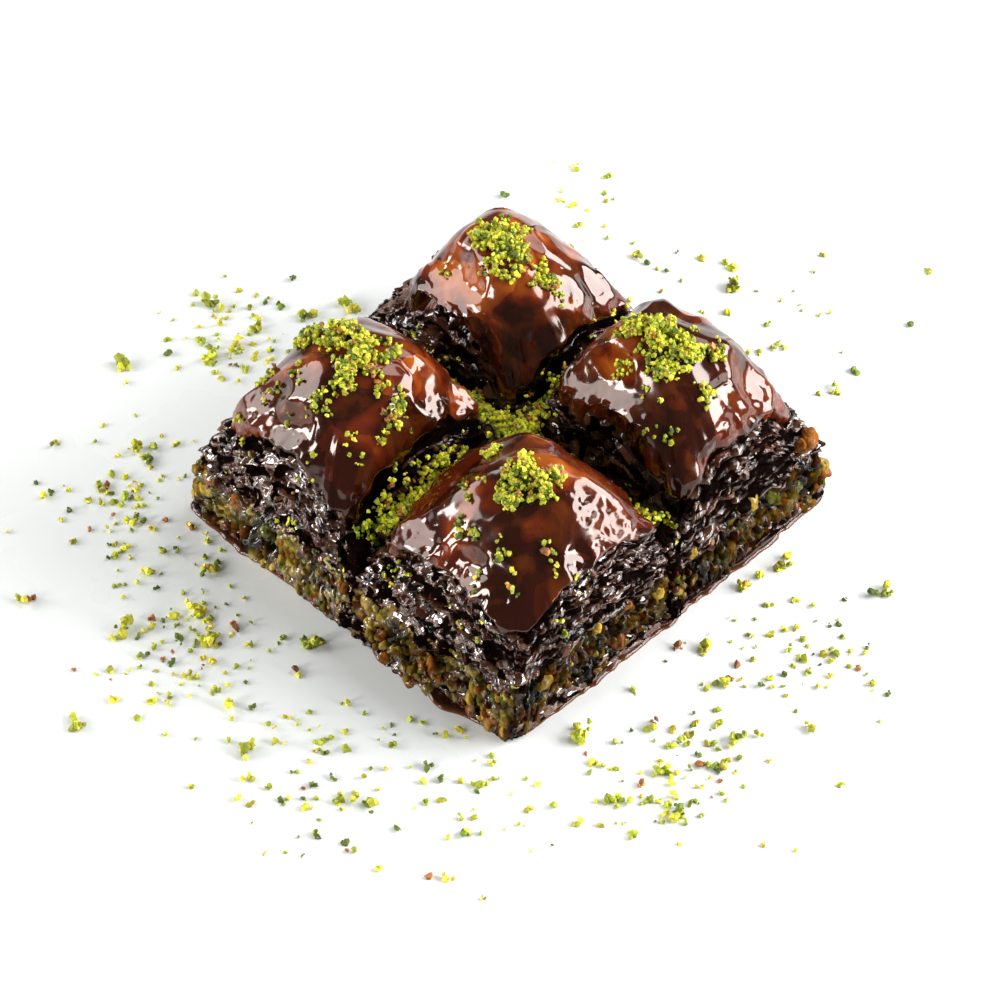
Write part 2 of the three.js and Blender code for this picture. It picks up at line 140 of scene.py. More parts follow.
def mottling_effect():
    """Uneven colour between two tones in soft patches, with the height of their grain."""
    tree, given, result = effect_group(
        "mottling",
        [("Scale", "Float"), ("Low", "Color"), ("High", "Color")],
        [("Color", "Color"), ("Height", "Float")],
    )
    patches = noise(tree, given["Scale"], 4.0)
    spread = ranged(tree, patches, 0.35, 0.65)
    tree.links.new(blended(tree, spread, given["Low"], given["High"]), result["Color"])
    tree.links.new(patches, result["Height"])
    return tree


def skin_through(rings, first, last):
    """Points and faces of a closed skin through rings of points, with a point at each end."""
    count, around = rings.shape[:2]
    points = np.vstack([[first], rings.reshape(-1, 3), [last]])
    ring, step = np.meshgrid(np.arange(count - 1), np.arange(around), indexing="ij")
    here = 1 + ring * around + step
    beside = 1 + ring * around + (step + 1) % around
    sides = np.stack([here, beside, beside + around, here + around], axis=-1).reshape(-1, 4)
    step = np.arange(around)
    after = (step + 1) % around
    top = 1 + (count - 1) * around
    below = np.stack([0 * step, 1 + after, 1 + step], axis=-1)
    above = np.stack([0 * step + len(points) - 1, top + step, top + after], axis=-1)
    return points, sides.tolist() + below.tolist() + above.tolist()


def place_piece(
    name, slot, points, faces, material, replaced=(), marks=None, crisp=False, stands_at=PLATE_TOP,
):
    """Makes a mesh from points in millimetres and joins it to the frame. Crisp faces stay flat."""
    mesh = bpy.data.meshes.new(name)
    mesh.from_pydata(((points + [0, 0, stands_at]) * MM).tolist(), [], faces)
    for label, values in (marks or {}).items():
        if values.ndim == 2:
            colours = mesh.color_attributes.new(label, "FLOAT_COLOR", "POINT")
            colours.data.foreach_set("color", np.column_stack([values, np.ones(len(values))]).ravel())
        else:
            mesh.attributes.new(label, "FLOAT", "POINT").data.foreach_set("value", values)
    if not crisp:
        mesh.shade_smooth()
    mesh.materials.append(material)
    piece = bpy.data.objects.new(name, mesh)
    bpy.context.scene.collection.objects.link(piece)
    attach(piece, "root")
    for node in replaced:
        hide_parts(node)
    return piece


def turned_plate():
    """Rings of the plate, from the middle of its underside round the rim to the middle on top."""
    under = PLATE_TOP - PLATE_THICKNESS
    sweep = np.linspace(0, 1, RIM_STEPS)
    outer = np.stack([
        mix(FLAT_RADIUS, PLATE_RADIUS - 1.2, sweep),
        mix(under, RIM_TOP - RIM_THICKNESS, sweep**2),
    ], axis=-1)
    inner = np.stack([
        mix(FLAT_RADIUS, PLATE_RADIUS - 1.8, sweep[::-1]),
        mix(PLATE_TOP, RIM_TOP, sweep[::-1] ** 2),
    ], axis=-1)
    lip = RIM_THICKNESS / 2
    round_lip = [
        [PLATE_RADIUS - lip + lip * np.cos(turn), RIM_TOP - lip + lip * np.sin(turn)]
        for turn in np.linspace(-1.1, 1.1, LIP_STEPS)
    ]
    foot = [
        [FOOT_RADIUS - FOOT_WIDTH - 4, under],
        [FOOT_RADIUS - FOOT_WIDTH - FOOT_SLANT, under - 0.4],
        [FOOT_RADIUS - FOOT_WIDTH, 0.5],
        [FOOT_RADIUS - FOOT_WIDTH + FOOT_SLANT, 0],
        [FOOT_RADIUS - FOOT_SLANT, 0],
        [FOOT_RADIUS, 0.5],
        [FOOT_RADIUS + 0.8, under - 0.4],
        [FOOT_RADIUS + 4, under],
    ]
    well = [[radius, PLATE_TOP] for radius in WELL_RADII]
    profile = np.array([[20, under], [60, under], *foot, *outer, *round_lip, *inner, *well])
    turns = np.linspace(0, 2 * np.pi, PLATE_SIDES, endpoint=False)
    rings = np.stack([
        profile[:, :1] * np.cos(turns),
        profile[:, :1] * np.sin(turns),
        np.broadcast_to(profile[:, 1:], (len(profile), PLATE_SIDES)),
    ], axis=-1)
    return skin_through(rings, [0, 0, under], [0, 0, PLATE_TOP])


def porcelain_finish():
    """White glaze with a faint cool unevenness and the slight waviness of its surface."""
    material, tree, shader = new_finish("white_porcelain")
    cloud = with_effect(tree, mottling, Scale=18.0, Low=GLAZE_WHITE, High=GLAZE_SHADE)
    waves = noise(tree, 60.0)
    set_sockets(tree, shader, {
        "Base Color": cloud["Color"],
        "Roughness": ranged(tree, waves, start=0.22, end=0.34),
        "Normal": relief(tree, waves, 0.05),
        "IOR": 1.5,
    })
    return material


mottling = mottling_effect()
place_piece(
    "plate_of_porcelain", "porcelain", *turned_plate(), porcelain_finish(),
    replaced=["plate"], stands_at=0.0,
)

# Syrup
# Brown sugar syrup that has run out of the block and lies round its foot in a thin sheet.
# It is dark where it is deep, and clear amber where it thins out at its lobed edge.
SYRUP_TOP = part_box("syrup_pool")[1].z / MM - PLATE_TOP
SYRUP_FRINGE = 0.75
SYRUP_LOBES = 1.0
SYRUP_WIDER_AHEAD = 0.9
AHEAD_FROM = -36
AHEAD_FADE = 3
SYRUP_SHOULDER = 1.5
SYRUP_THIN_EDGE = 0.5
SYRUP_STEPS = 480
SYRUP_INSETS = np.array([0, 0.05, 0.15, 0.35, 0.7, 1.3, 2.5, 6.0])
# Where nuts and syrup have spilled at the foot: the place and how high they are heaped
SPILL = [[8.5, -40.8, 7.2], [13.0, -41.2, 6.4], [18.0, -41.6, 6.6], [21.0, -40.6, 7.8]]
SPILL_RADIUS = 2.1
DEEP_SYRUP = (0.022, 0.006, 0.003, 1)
THIN_SYRUP = (0.16, 0.045, 0.012, 1)
SYRUP_EDGE_COVER = 0.85
HALF_CUT = 0.5
# The turn and slope, in degrees, of places in the glaze that mirror the left and the right light
LEFT = (-23.4, 37)
RIGHT = (103, 41)
# The syrup's outline follows the block, which is four squares cut from one tray by two straight
# cuts. Each square has its foot on the plate, a crust with its edge at some height, and the peak
# of its dome, all measured from the plate. Each side has the rise of the crust's edge between the
# corners, in arches, and how much painted shade its torn sheets get. Amber says how thin the glaze
# lies, and how much more amber or darker it is painted to the viewer's right and towards the
# viewer, which is painted light and shade. Flats are the places that mirror a light: where they
# lie, how long and wide they are, which way they run, how bumpy they are, and their turn and slope.
SQUARES = {
    "left": {
        "seed": 11,
        "foot": [[-38.0, -39.2], [-HALF_CUT, -39.8], [-HALF_CUT, -HALF_CUT], [-38.6, -HALF_CUT]],
        "crust": [[-31.8, -34.0, 23.2], [-4.8, -35.2, 21.6], [-3.6, -5.4, 24.4], [-31.4, -5.0, 22.6]],
        "peak": [-15.0, -17.3, 39.0],
        "fullness": 0.85,
        "arches": (4.0, 3.6, 3, 3),
        "painted_shades": (0.32, 1.3, 0.5, 0.5),
        "amber": (0.14, 0.42, -0.1),
        "flats": [(-19.5, -28.4, 3.4, 3.2, 0, 0.15, LEFT), (-18.6, -34.0, 5.0, 2.2, 0, 0.2, LEFT),
                  (-27.4, -31.8, 4.0, 2.8, 12, 0.25, LEFT), (-4.9, -13.0, 3.0, 2.6, 0, 0.3, RIGHT),
                  (-5.2, -6.6, 2.2, 3.0, 0, 0.2, RIGHT)],
    },
    "front": {
        "seed": 23,
        "foot": [[HALF_CUT, -40.6], [36.6, -38.0], [38.0, -HALF_CUT], [HALF_CUT, -HALF_CUT]],
        "crust": [[4.4, -33.8, 22.2], [34.4, -35.2, 23.8], [36.2, -5.2, 26.0], [4.6, -4.8, 22.6]],
        "peak": [22.8, -17.0, 37.8],
        "fullness": 1.1,
        "arches": (2.4, 3.6, 3, 3),
        "painted_shades": (0.28, 1.15, 0.5, 0.5),
        "amber": (-0.5, -0.12, -0.05),
        "flats": [(9.6, -32.6, 4.2, 2.6, 0, 0.5, LEFT), (22.2, -33.4, 3.6, 1.9, 0, 0.35, LEFT),
                  (33.6, -12.0, 6.0, 3.0, 40, 0.7, RIGHT), (34.8, -21.9, 1.5, 2.4, 0, 0.5, RIGHT)],
    },
    "right": {
        "seed": 37,
        "foot": [[HALF_CUT, HALF_CUT], [37.2, HALF_CUT], [38.6, 37.8], [HALF_CUT, 37.8]],
        "crust": [[3.4, 6.6, 25.4], [32.6, 6.6, 22.0], [32.2, 32.6, 22.4], [5.2, 32.8, 22.8]],
        "peak": [14.6, 17.6, 39.2],
        "fullness": 0.85,
        "arches": (1.2, 3.6, 3, 3),
        "painted_shades": (0.5, 1.42, 0.5, 0.5),
        "amber": (-0.04, -0.22, -0.25),
        "flats": [(14.4, 6.0, 11.0, 4.2, -6, 0.12, LEFT), (30.0, 27.6, 3.6, 3.0, 40, 0.3, RIGHT)],
    },
    "back": {
        "seed": 53,
        "foot": [[-39.4, HALF_CUT], [-HALF_CUT, HALF_CUT], [-HALF_CUT, 37.8], [-38.4, 37.6]],
        "crust": [[-31.4, 7.4, 21.4], [-3.4, 4.4, 21.0], [-3.4, 31.4, 22.0], [-31.2, 32.4, 22.0]],
        "peak": [-21.0, 16.2, 37.2],
        "fullness": 0.95,
        "arches": (4.0, 3.6, 3, 3),
        "painted_shades": (0.5, 1.3, 0.5, 0.5),
        "amber": (0.06, 0.12, -0.32),
        "flats": [(-22.4, 7.4, 8.4, 3.8, -6, 0.2, LEFT), (-6.4, 21.1, 2.0, 3.0, 0, 0.4, RIGHT),
                  (-6.0, 27.9, 2.8, 3.0, 0, 0.3, RIGHT)],
    },
}
FOOT_SQUARENESS = 30
EVEN_SHARES = (0.25, 0.25, 0.25, 0.25)


def square_rim(around, shares=EVEN_SHARES):
    """Places on the rim of the square from -1 to 1, counter-clockwise from its lowest corner.

    Each is the number of its side and its two places, and each side has its share of them.
    """
    counts = np.rint(around * np.array(shares)).astype(int)
    side = np.repeat(np.arange(4), counts)
    along = np.concatenate([np.linspace(-1, 1, count, endpoint=False) for count in counts])
    ones = np.ones(len(side))
    u = np.choose(side, [along, ones, -along, -ones])
    v = np.choose(side, [-ones, along, ones, -along])
    return side, u, v


def rounded_off(u, v, squareness):
    """Those places drawn in, so that the square's corners are rounded."""
    reach = (np.abs(u) ** squareness + np.abs(v) ** squareness) ** (1 / squareness)
    return u / reach, v / reach


def between(corners, u, v):
    """The value at places of the square, from the values at its four corners."""
    weights = [(1 - u) * (1 - v), (1 + u) * (1 - v), (1 + u) * (1 + v), (1 - u) * (1 + v)]
    return np.stack(weights, axis=-1) @ np.array(corners, float) / 4


def speckle(cells):
    """A number from 0 to 1 for each cell of a grid, the same on each run."""
    mixed = (cells.astype(np.int64) * [73856093, 19349663, 83492791]).sum(axis=-1)
    mixed = ((mixed ^ (mixed >> 13)) * 1274126177) & 0xFFFFFFFF
    return ((mixed ^ (mixed >> 16)) & 0xFFFF) / 0xFFFF


def waver(points, size, seed=0):
    """Smooth unevenness from -1 to 1, with lumps about that many millimetres wide."""
    places = points / np.array(size, float) + 17.3 * seed
    cells = np.floor(places)
    part = places - cells
    part = part * part * (3 - 2 * part)
    total = np.zeros(points.shape[:-1])
    for corner in np.ndindex(2, 2, 2):
        weight = np.prod(np.where(corner, part, 1 - part), axis=-1)
        total += weight * speckle(cells + corner)
    return 2 * total - 1


def layered(points, *layers, level=0.0):
    """A level with layers of unevenness on it: each one's height, width of lumps and seed."""
    return sum((height * waver(points, size, seed) for height, size, seed in layers), level)


def pushed_out(points, axis, amount):
    """Moves points level outwards from an upright axis."""
    away = points[..., :2] - np.array(axis[:2])
    length = np.linalg.norm(away, axis=-1, keepdims=True)
    moved = points.copy()
    moved[..., :2] += away / length * np.broadcast_to(amount, points.shape[:-1])[..., None]
    return moved


def syrup_sheet():
    """Rings from the edge inwards, rising in a rounded shoulder, and how thin the syrup is."""
    corners = [square["foot"][index] for index, square in enumerate(SQUARES.values())]
    u, v = rounded_off(*square_rim(SYRUP_STEPS)[1:], FOOT_SQUARENESS)
    outline = np.column_stack([between(corners, u, v), np.zeros(SYRUP_STEPS)])
    nearest = np.min([np.hypot(*(outline[:, :2] - place[:2]).T) for place in SPILL], axis=0)
    fringe = SYRUP_FRINGE + SYRUP_LOBES * layered(outline, (1, 9, 2), (0.5, 3, 5))
    ahead = np.clip((AHEAD_FROM - outline[:, 1]) / AHEAD_FADE, 0, 1)
    fringe += 0.35 * waver(outline, 1.4, 6) + SYRUP_WIDER_AHEAD * ahead
    fringe = np.maximum(fringe, 0.1) + SPILL_RADIUS * np.exp(-((nearest / 4) ** 2))
    heights = SYRUP_TOP * np.sqrt(1 - (1 - np.minimum(SYRUP_INSETS / SYRUP_SHOULDER, 1)) ** 2)
    rings = np.array([
        pushed_out(outline, (0, 0), fringe - inset) + [0, 0, height]
        for inset, height in zip(SYRUP_INSETS, heights)
    ])
    rings[2:, :, 2] += 0.06 * waver(rings[2:], 2.5, 8)
    thinness = np.clip(1 - SYRUP_INSETS / SYRUP_THIN_EDGE, 0, 1)[:, None] * np.ones(SYRUP_STEPS)
    points, faces = skin_through(rings, [0, 0, 0], [0, 0, SYRUP_TOP])
    return points, faces, np.concatenate([[0], thinness.ravel(), [0]])


def reckoned(tree, operation, *values, **settings):
    """The result of a sum, such as an addition, on values in its order."""
    return add_node(tree, "Math", dict(enumerate(values)), operation=operation, **settings).outputs[0]


def marked(tree, label, kind="Fac"):
    """What a point of a piece's mesh is marked with under that label."""
    return add_node(tree, "Attribute", attribute_name=label).outputs[kind]


def syrup_depth_effect():
    """The colour of brown syrup, from its thin edge to its full depth, with darker streaks."""
    tree, given, result = effect_group(
        "syrup_depth",
        [("Thinness", "Float"), ("Deep", "Color"), ("Thin", "Color")],
        [("Color", "Color")],
    )
    uneven = reckoned(tree, "SUBTRACT", noise(tree, 170.0, 3.0, 0.6), 0.5)
    spread = reckoned(tree, "MULTIPLY_ADD", uneven, 0.9, given["Thinness"], use_clamp=True)
    tree.links.new(blended(tree, spread, given["Deep"], given["Thin"]), result["Color"])
    return tree


def syrup_finish():
    """Wet syrup: dark, very smooth and clear at the edge."""
    material, tree, shader = new_finish("brown_syrup")
    thinness = marked(tree, "thinness")
    colour = with_effect(tree, syrup_depth, Thinness=thinness, Deep=DEEP_SYRUP, Thin=THIN_SYRUP)
    set_sockets(tree, shader, {
        "Base Color": colour["Color"],
        "Roughness": 0.06,
        "IOR": 1.42,
        "Alpha": ranged(tree, thinness, start=1.0, end=SYRUP_EDGE_COVER),
        "Normal": relief(tree, noise(tree, 400.0, 1.0), 0.15),
    })
    return material


syrup_depth = syrup_depth_effect()
points, faces, thinness = syrup_sheet()
place_piece(
    "syrup_round_the_block", "syrup", points, faces, syrup_finish(),
    replaced=["syrup_pool"], marks={"thinness": thinness},
)

# Base pastry
# The lowest sheets of each square, pressed flat by what lies on them and soaked with syrup, so
# that their edges show as a dark wet band.
BASE_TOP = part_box("base_pastry_left")[1].z / MM - PLATE_TOP
BASE_SETBACK = 0.4
BASE_STEPS = 300
BASE_RINGS = 14
OPEN_SHARE = 0.36
SOAKED_DARK = (0.0035, 0.0012, 0.0008, 1)
SOAKED_BROWN = (0.13, 0.051, 0.027, 1)


def wet_crumple_effect():
    """Thin wet sheets, crumpled and torn: their height, patches of painted shade for their gaps and where
    they shine.
    """
    tree, given, result = effect_group(
        "wet_crumple",
        [("Scale", "Float"), ("Levels", "Float")],
        [("Height", "Float"), ("Painted shade", "Float"), ("Wet", "Float")],
    )
    stretch = add_node(tree, "CombineXYZ", {"X": 1.0, "Y": 1.0, "Z": given["Levels"]}).outputs[0]
    drawn = add_node(tree, "VectorMath", {0: place_of(tree), 1: stretch}, operation="MULTIPLY").outputs[0]
    soft = noise(tree, given["Scale"], 1.5, 0.7, drawn)
    ridge = reckoned(tree, "ABSOLUTE", reckoned(tree, "SUBTRACT", soft, 0.5))
    torn = noise(tree, 320.0, 3.0, 0.8, drawn)
    tree.links.new(reckoned(tree, "MULTIPLY_ADD", ridge, -1.6, soft), result["Height"])
    # Painted shade: patches painted dark for the shade in the gaps between the sheets.
    tree.links.new(ranged(tree, torn, 0.58, 0.46), result["Painted shade"])
    tree.links.new(ranged(tree, torn, 0.48, 0.52), result["Wet"])
    return tree


def soaked_pastry_finish():
    """Sheets dark with syrup and with patches of painted shade, with a wet skin over their crumpled edges.
    """
    material, tree, shader = new_finish("soaked_pastry")
    crumple = with_effect(tree, wet_crumple, Scale=460.0, Levels=1.5)
    set_sockets(tree, shader, {
        "Base Color": blended(tree, crumple["Painted shade"], SOAKED_BROWN, SOAKED_DARK),
        "Roughness": 0.4,
        "IOR": 1.04,
        "Coat Weight": crumple["Wet"],
        "Coat Roughness": 0.06,
        "Coat IOR": 1.8,
        "Normal": relief(tree, crumple["Height"], 0.5),
    })
    return material


def open_sides(square):
    """The numbers of the two sides of a square that no cut runs along."""
    foot = np.abs(np.array(square["foot"]))
    return [side for side in range(4) if np.maximum(foot[side], foot[(side + 1) % 4]).min() > HALF_CUT]


def crowded_rim(square, around):
    """A rim with most of its places on the open sides."""
    shares = [OPEN_SHARE if side in open_sides(square) else 0.5 - OPEN_SHARE for side in range(4)]
    return square_rim(around, shares)


def side_ring(square, rim, height, set_back):
    """A level ring of a square's side, with its open sides drawn back and its cut sides kept."""
    foot = np.array(square["foot"])
    foot = np.where(np.abs(foot) > HALF_CUT, foot - np.sign(foot) * set_back, foot)
    ring = between(foot, *rounded_off(*rim[1:], FOOT_SQUARENESS))
    return np.column_stack([ring, np.full(len(ring), float(height))])


def middle_of(square):
    """The middle of a square's foot."""
    return np.array(square["foot"]).mean(axis=0)


def closed_sides(square, rings):
    """Points and faces of a layer through rings round its sides, with level ends."""
    middle = middle_of(square)
    return skin_through(rings, [*middle, rings[0, 0, 2]], [*middle, rings[-1, 0, 2]])


def on_cut(points):
    """Whether points stand on one of the knife's cuts."""
    return np.abs(points[..., :2]).min(axis=-1) < 4 * HALF_CUT


def creases(points, size, seed=0):
    """Sharp ridges up to 1, with valleys down to -1 between them."""
    return 1 - np.abs(waver(points, size, seed)) * 2


def base_pastry(square):
    """Rings of the pressed sheets, which stand out and in by a little."""
    rim = crowded_rim(square, BASE_STEPS)
    rings = np.array([
        side_ring(square, rim, mix(SYRUP_TOP - 0.3, BASE_TOP + 0.2, share), BASE_SETBACK * share)
        for share in np.linspace(0, 1, BASE_RINGS)
    ])
    ridges = creases(rings, [1.4, 1.4, 0.6], square["seed"] + 1)
    stands_out = 0.35 * waver(rings, [3, 3, 0.7], square["seed"]) + 0.3 * ridges
    rings = pushed_out(rings, middle_of(square), np.where(on_cut(rings), -0.1, stands_out))
    return closed_sides(square, rings)


wet_crumple = wet_crumple_effect()
soaked_pastry = soaked_pastry_finish()
for name, square in SQUARES.items():
    place_piece(
        f"base_sheets_{name}", "base_pastry", *base_pastry(square), soaked_pastry,
        replaced=[f"base_pastry_{name}"],
    )

# Nut filling
# A layer of chopped pistachio bound with syrup, as thick as a finger. At the open sides grains
# of nut are pressed together and shine with syrup, and larger bits stand out of them.
FILLING_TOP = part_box("upper_pastry_left")[0].z / MM - PLATE_TOP
FILLING_SETBACK = 1.3
FILLING_STEPS = 440
FILLING_RINGS = 38
GRAIN_SIZES = (0.3, 0.85)
GRAINS_ON_A_SIDE = 560
PASTE_TONE = (0.016, 0.007, 0.004)
DRIER_FROM = (0.031, 0.036)
CHOPPED_TONES = np.array([
    (0.27, 0.165, 0.028),
    (0.46, 0.30, 0.045),
    (0.36, 0.12, 0.022),
    (0.13, 0.13, 0.018),
    (0.58, 0.44, 0.10),
    (0.13, 0.034, 0.012),
])
# How much of their colour the nuts keep on each side, as painted shade, least on the side highest in X
PAINTED_SIDE_SHADE = np.array([[1, 1, 1], [0.27, 0.215, 0.12], [0.8, 0.8, 0.8], [1, 1, 1]])
# How far the filling sags over the base at most, and the share of its foot that does on each side
SAG = 3.8
SAG_SHARES = (0.85, 0.2, 0.2, 0.85)
CHOPPED_SHARES = [0.32, 0.20, 0.12, 0.12, 0.04, 0.20]
# Nuts placed by lot: the smallest and largest radius, how many on a side, and how fine the mesh
NUT_SIZES = [(0.95, 1.4, 9, 3), (0.6, 0.95, 30, 2)]
# Nuts that show: their side, their place along it, their height, radius and tone
SHOWN_NUTS = {
    "left": [(0, -4.7, 11.8, 1.2, 4), (0, -19.8, 7.7, 1.8, 3), (0, -10.4, 5.9, 1.4, 0),
             (0, -26.9, 9.8, 1.5, 2), (0, -23.2, 10.4, 1.2, 1), (0, -28.5, 5.6, 1.6, 0),
             (0, -34.0, 7.4, 1.6, 1), (0, -36.2, 5.2, 1.3, 0)],
    "front": [(0, 5.0, 10.0, 1.7, 1), (0, 9.8, 11.6, 1.7, 0), (0, 27.0, 9.9, 1.3, 0),
              (1, -36.3, 12.2, 0.6, 4), (1, -30.3, 8.6, 1.5, 0), (1, -24.7, 8.6, 1.1, 1),
              (1, -18.4, 12.0, 1.7, 1), (1, -11.6, 11.6, 1.3, 2), (1, -4.2, 9.8, 1.4, 1)],
    "right": [(1, 33.5, 16.6, 2.0, 2), (1, 31.6, 16.0, 1.2, 2), (1, 1.9, 9.7, 1.2, 0),
              (1, 4.9, 10.6, 1.4, 1), (1, 8.5, 11.0, 1.3, 2), (1, 14.7, 11.4, 1.5, 0),
              (1, 19.7, 11.6, 1.5, 1), (1, 24.6, 9.4, 1.6, 3), (1, 30.5, 7.0, 1.7, 3),
              (1, 37.4, 5.6, 1.8, 2)],
    "back": [],
}
# Where nuts close the cut that comes out of the block beside each square
CUT_END_OF = {"left": (0, -39.0), "front": (37.3, 0), "right": (0, 36.9), "back": (-38.0, 0)}
CUT_END_NUTS = 26
SPILLED_BITS = 13


def nut_flesh_effect():
    """A nut's own colour with darker mottling and the height of its grain."""
    tree, given, result = effect_group(
        "nut_flesh",
        [("Tone", "Color"), ("Scale", "Float"), ("Depth", "Float")],
        [("Color", "Color"), ("Height", "Float")],
    )
    grain = noise(tree, given["Scale"], 4.0)
    shade = reckoned(tree, "SUBTRACT", 1.0, given["Depth"])
    dim = add_node(
        tree, "Mix", {0: 1.0, 6: given["Tone"], 7: shade}, data_type="RGBA", blend_type="MULTIPLY",
    ).outputs[2]
    tree.links.new(blended(tree, ranged(tree, grain, 0.3, 0.6), dim, given["Tone"]), result["Color"])
    tree.links.new(grain, result["Height"])
    return tree


def chopped_nut_finish():
    """Nut that shines with syrup, but less on the side of the block that is highest in X."""
    material, tree, shader = new_finish("syrupy_nuts")
    flesh = with_effect(tree, nut_flesh, Tone=marked(tree, "tone", "Color"), Scale=700.0, Depth=0.6)
    crumple = with_effect(tree, wet_crumple, Scale=620.0, Levels=1.0)
    along_x = add_node(tree, "SeparateXYZ", {"Vector": place_of(tree)}).outputs["X"]
    drier = ranged(tree, along_x, *DRIER_FROM, 1.0, 0.25)
    set_sockets(tree, shader, {
        "Base Color": flesh["Color"],
        "Roughness": 0.45,
        "IOR": 1.05,
        "Coat Weight": reckoned(tree, "MULTIPLY", crumple["Wet"], drier),
        "Coat Roughness": 0.06,
        "Coat IOR": 1.7,
        "Normal": relief(tree, crumple["Height"], 0.4),
    })
    return material


def filling_setback(share):
    """How far the filling has drawn back at a share of its height."""
    return mix(BASE_SETBACK, FILLING_SETBACK, share**1.3)


def packed_grains(along, heights, random):
    """How far grains pressed into a side stand out at its places, and their tones there."""
    corner = np.array([along.min(), heights.min()])
    size = np.array([np.ptp(along), np.ptp(heights)])
    middles = corner + random.random((GRAINS_ON_A_SIDE, 2)) * size
    radii = mix(*GRAIN_SIZES, random.random(GRAINS_ON_A_SIDE) ** 1.6)
    sunk = random.uniform(0, 0.75, GRAINS_ON_A_SIDE) * radii
    tones = CHOPPED_TONES[random.choice(len(CHOPPED_TONES), GRAINS_ON_A_SIDE, p=CHOPPED_SHARES)]
    tones = tones * random.uniform(0.55, 1.15, (GRAINS_ON_A_SIDE, 1))
    span = (along[:, None] - middles[:, 0]) ** 2 + (heights[:, None] - middles[:, 1]) ** 2
    proud = np.where(span < radii**2, np.sqrt(np.abs(radii**2 - span)) - sunk, -0.45)
    topmost = proud.argmax(axis=1)
    bare = proud.max(axis=1) < -0.4
    return proud.max(axis=1), np.where(bare[:, None], PASTE_TONE, tones[topmost])


def nut_paste(square):
    """Rings of the filling's side, packed with grains where it is open, and their tones."""
    rim = crowded_rim(square, FILLING_STEPS)
    shares = np.linspace(0, 1, FILLING_RINGS)
    rings = np.array([
        side_ring(square, rim, mix(BASE_TOP - 0.3, FILLING_TOP + 0.5, share), filling_setback(share))
        for share in shares
    ])
    seed = square["seed"] + 7
    random = np.random.default_rng(seed)
    stands_out = np.full(rings.shape[:2], -0.1)
    tones = np.tile(PASTE_TONE, (*rings.shape[:2], 1))
    for side in open_sides(square):
        here = rim[0] == side
        part = rings[:, here]
        along = part[..., side % 2] + 0.3 * waver(part, 1.2, seed)
        heights = part[..., 2] + 0.3 * waver(part, 1.2, seed + 2)
        proud, tone = packed_grains(along.ravel(), heights.ravel(), random)
        swell = 0.1 + 0.75 * waver(part, [4, 4, 3], seed + 3)
        stands_out[:, here] = swell + 1.25 * proud.reshape(heights.shape)
        clean = layered(part, (0.85, [5, 5, 3], seed + 5), (0.6, 1.6, seed + 6), level=0.55)
        clean = np.clip(clean + 0.3 * swell, 0.1, 1)
        # Painted shade: the grains are darker on some sides than others.
        tones[:, here] = tone.reshape(*heights.shape, 3) * clean[..., None] * PAINTED_SIDE_SHADE[side]
        lobes = np.clip(SAG_SHARES[side] + 0.8 * waver(part[:1] * [1, 1, 0], 4, seed + 9), 0, 1)
        hangs = lobes * (1 - shares[:, None]) ** 2
        rings[:, here, 2] -= SAG * hangs
        stands_out[:, here] += 0.9 * hangs
    rings = pushed_out(rings, middle_of(square), np.where(on_cut(rings), -0.1, stands_out))
    return *closed_sides(square, rings), np.vstack([[PASTE_TONE], tones.reshape(-1, 3), [PASTE_TONE]])


def round_bit(divisions):
    """Points and faces of a ball from Blender's own mesh maker."""
    shape = bmesh.new()
    bmesh.ops.create_icosphere(shape, subdivisions=divisions, radius=1.0)
    points = np.array([corner.co[:] for corner in shape.verts])
    faces = np.array([[corner.index for corner in face.verts] for face in shape.faces])
    shape.free()
    return points, faces


def uneven_bits(centres, radii, tones, random, divisions, lumpy=0.3, chops=0):
    """Joined lumps, one for each centre, with flat places where they were chopped."""
    ball, triangles = round_bit(divisions)
    count = len(centres)
    turns = np.linalg.qr(random.normal(size=(count, 3, 3)))[0]
    stretched = ball * random.uniform(0.75, 1.25, (count, 1, 3))
    swollen = 1 + lumpy * waver(ball + random.uniform(0, 90, (count, 1, 3)), 0.8)
    if chops:
        facing = random.normal(size=(count, 3, chops))
        facing /= np.linalg.norm(facing, axis=1, keepdims=True)
        depths = random.uniform(0.62, 0.95, (count, 1, chops))
        swollen *= np.minimum(1, (depths / np.maximum(ball @ facing, 0.3)).min(axis=-1))
    points = (stretched * (swollen * np.array(radii)[:, None])[..., None]) @ turns
    points += np.array(centres)[:, None]
    faces = triangles + (np.arange(count) * len(ball))[:, None, None]
    colours = np.repeat(np.array(tones) * random.uniform(0.75, 1.2, (count, 1)), len(ball), axis=0)
    return points.reshape(-1, 3), faces.reshape(-1, 3), colours


def joined(parts):
    """Several sets of points, faces and colours as one."""
    starts = np.cumsum([0, *[len(points) for points, _, _ in parts]])
    faces = [piece + start for (_, piece, _), start in zip(parts, starts)]
    return (
        np.concatenate([points for points, _, _ in parts]),
        np.concatenate(faces).tolist(),
        np.concatenate([colours for _, _, colours in parts]),
    )


def side_place(square, side, along, height, sunk):
    """A place on an open side, that much of the way along it, and sunk into it."""
    share = (height - BASE_TOP) / (FILLING_TOP - BASE_TOP)
    foot = np.array(square["foot"])[[side, (side + 1) % 4]]
    place = mix(foot[0], foot[1], along)
    inwards = middle_of(square) - foot.mean(axis=0)
    inwards = inwards / np.linalg.norm(inwards)
    return [*(place + inwards * (filling_setback(np.clip(share, 0, 1)) + sunk)), height]


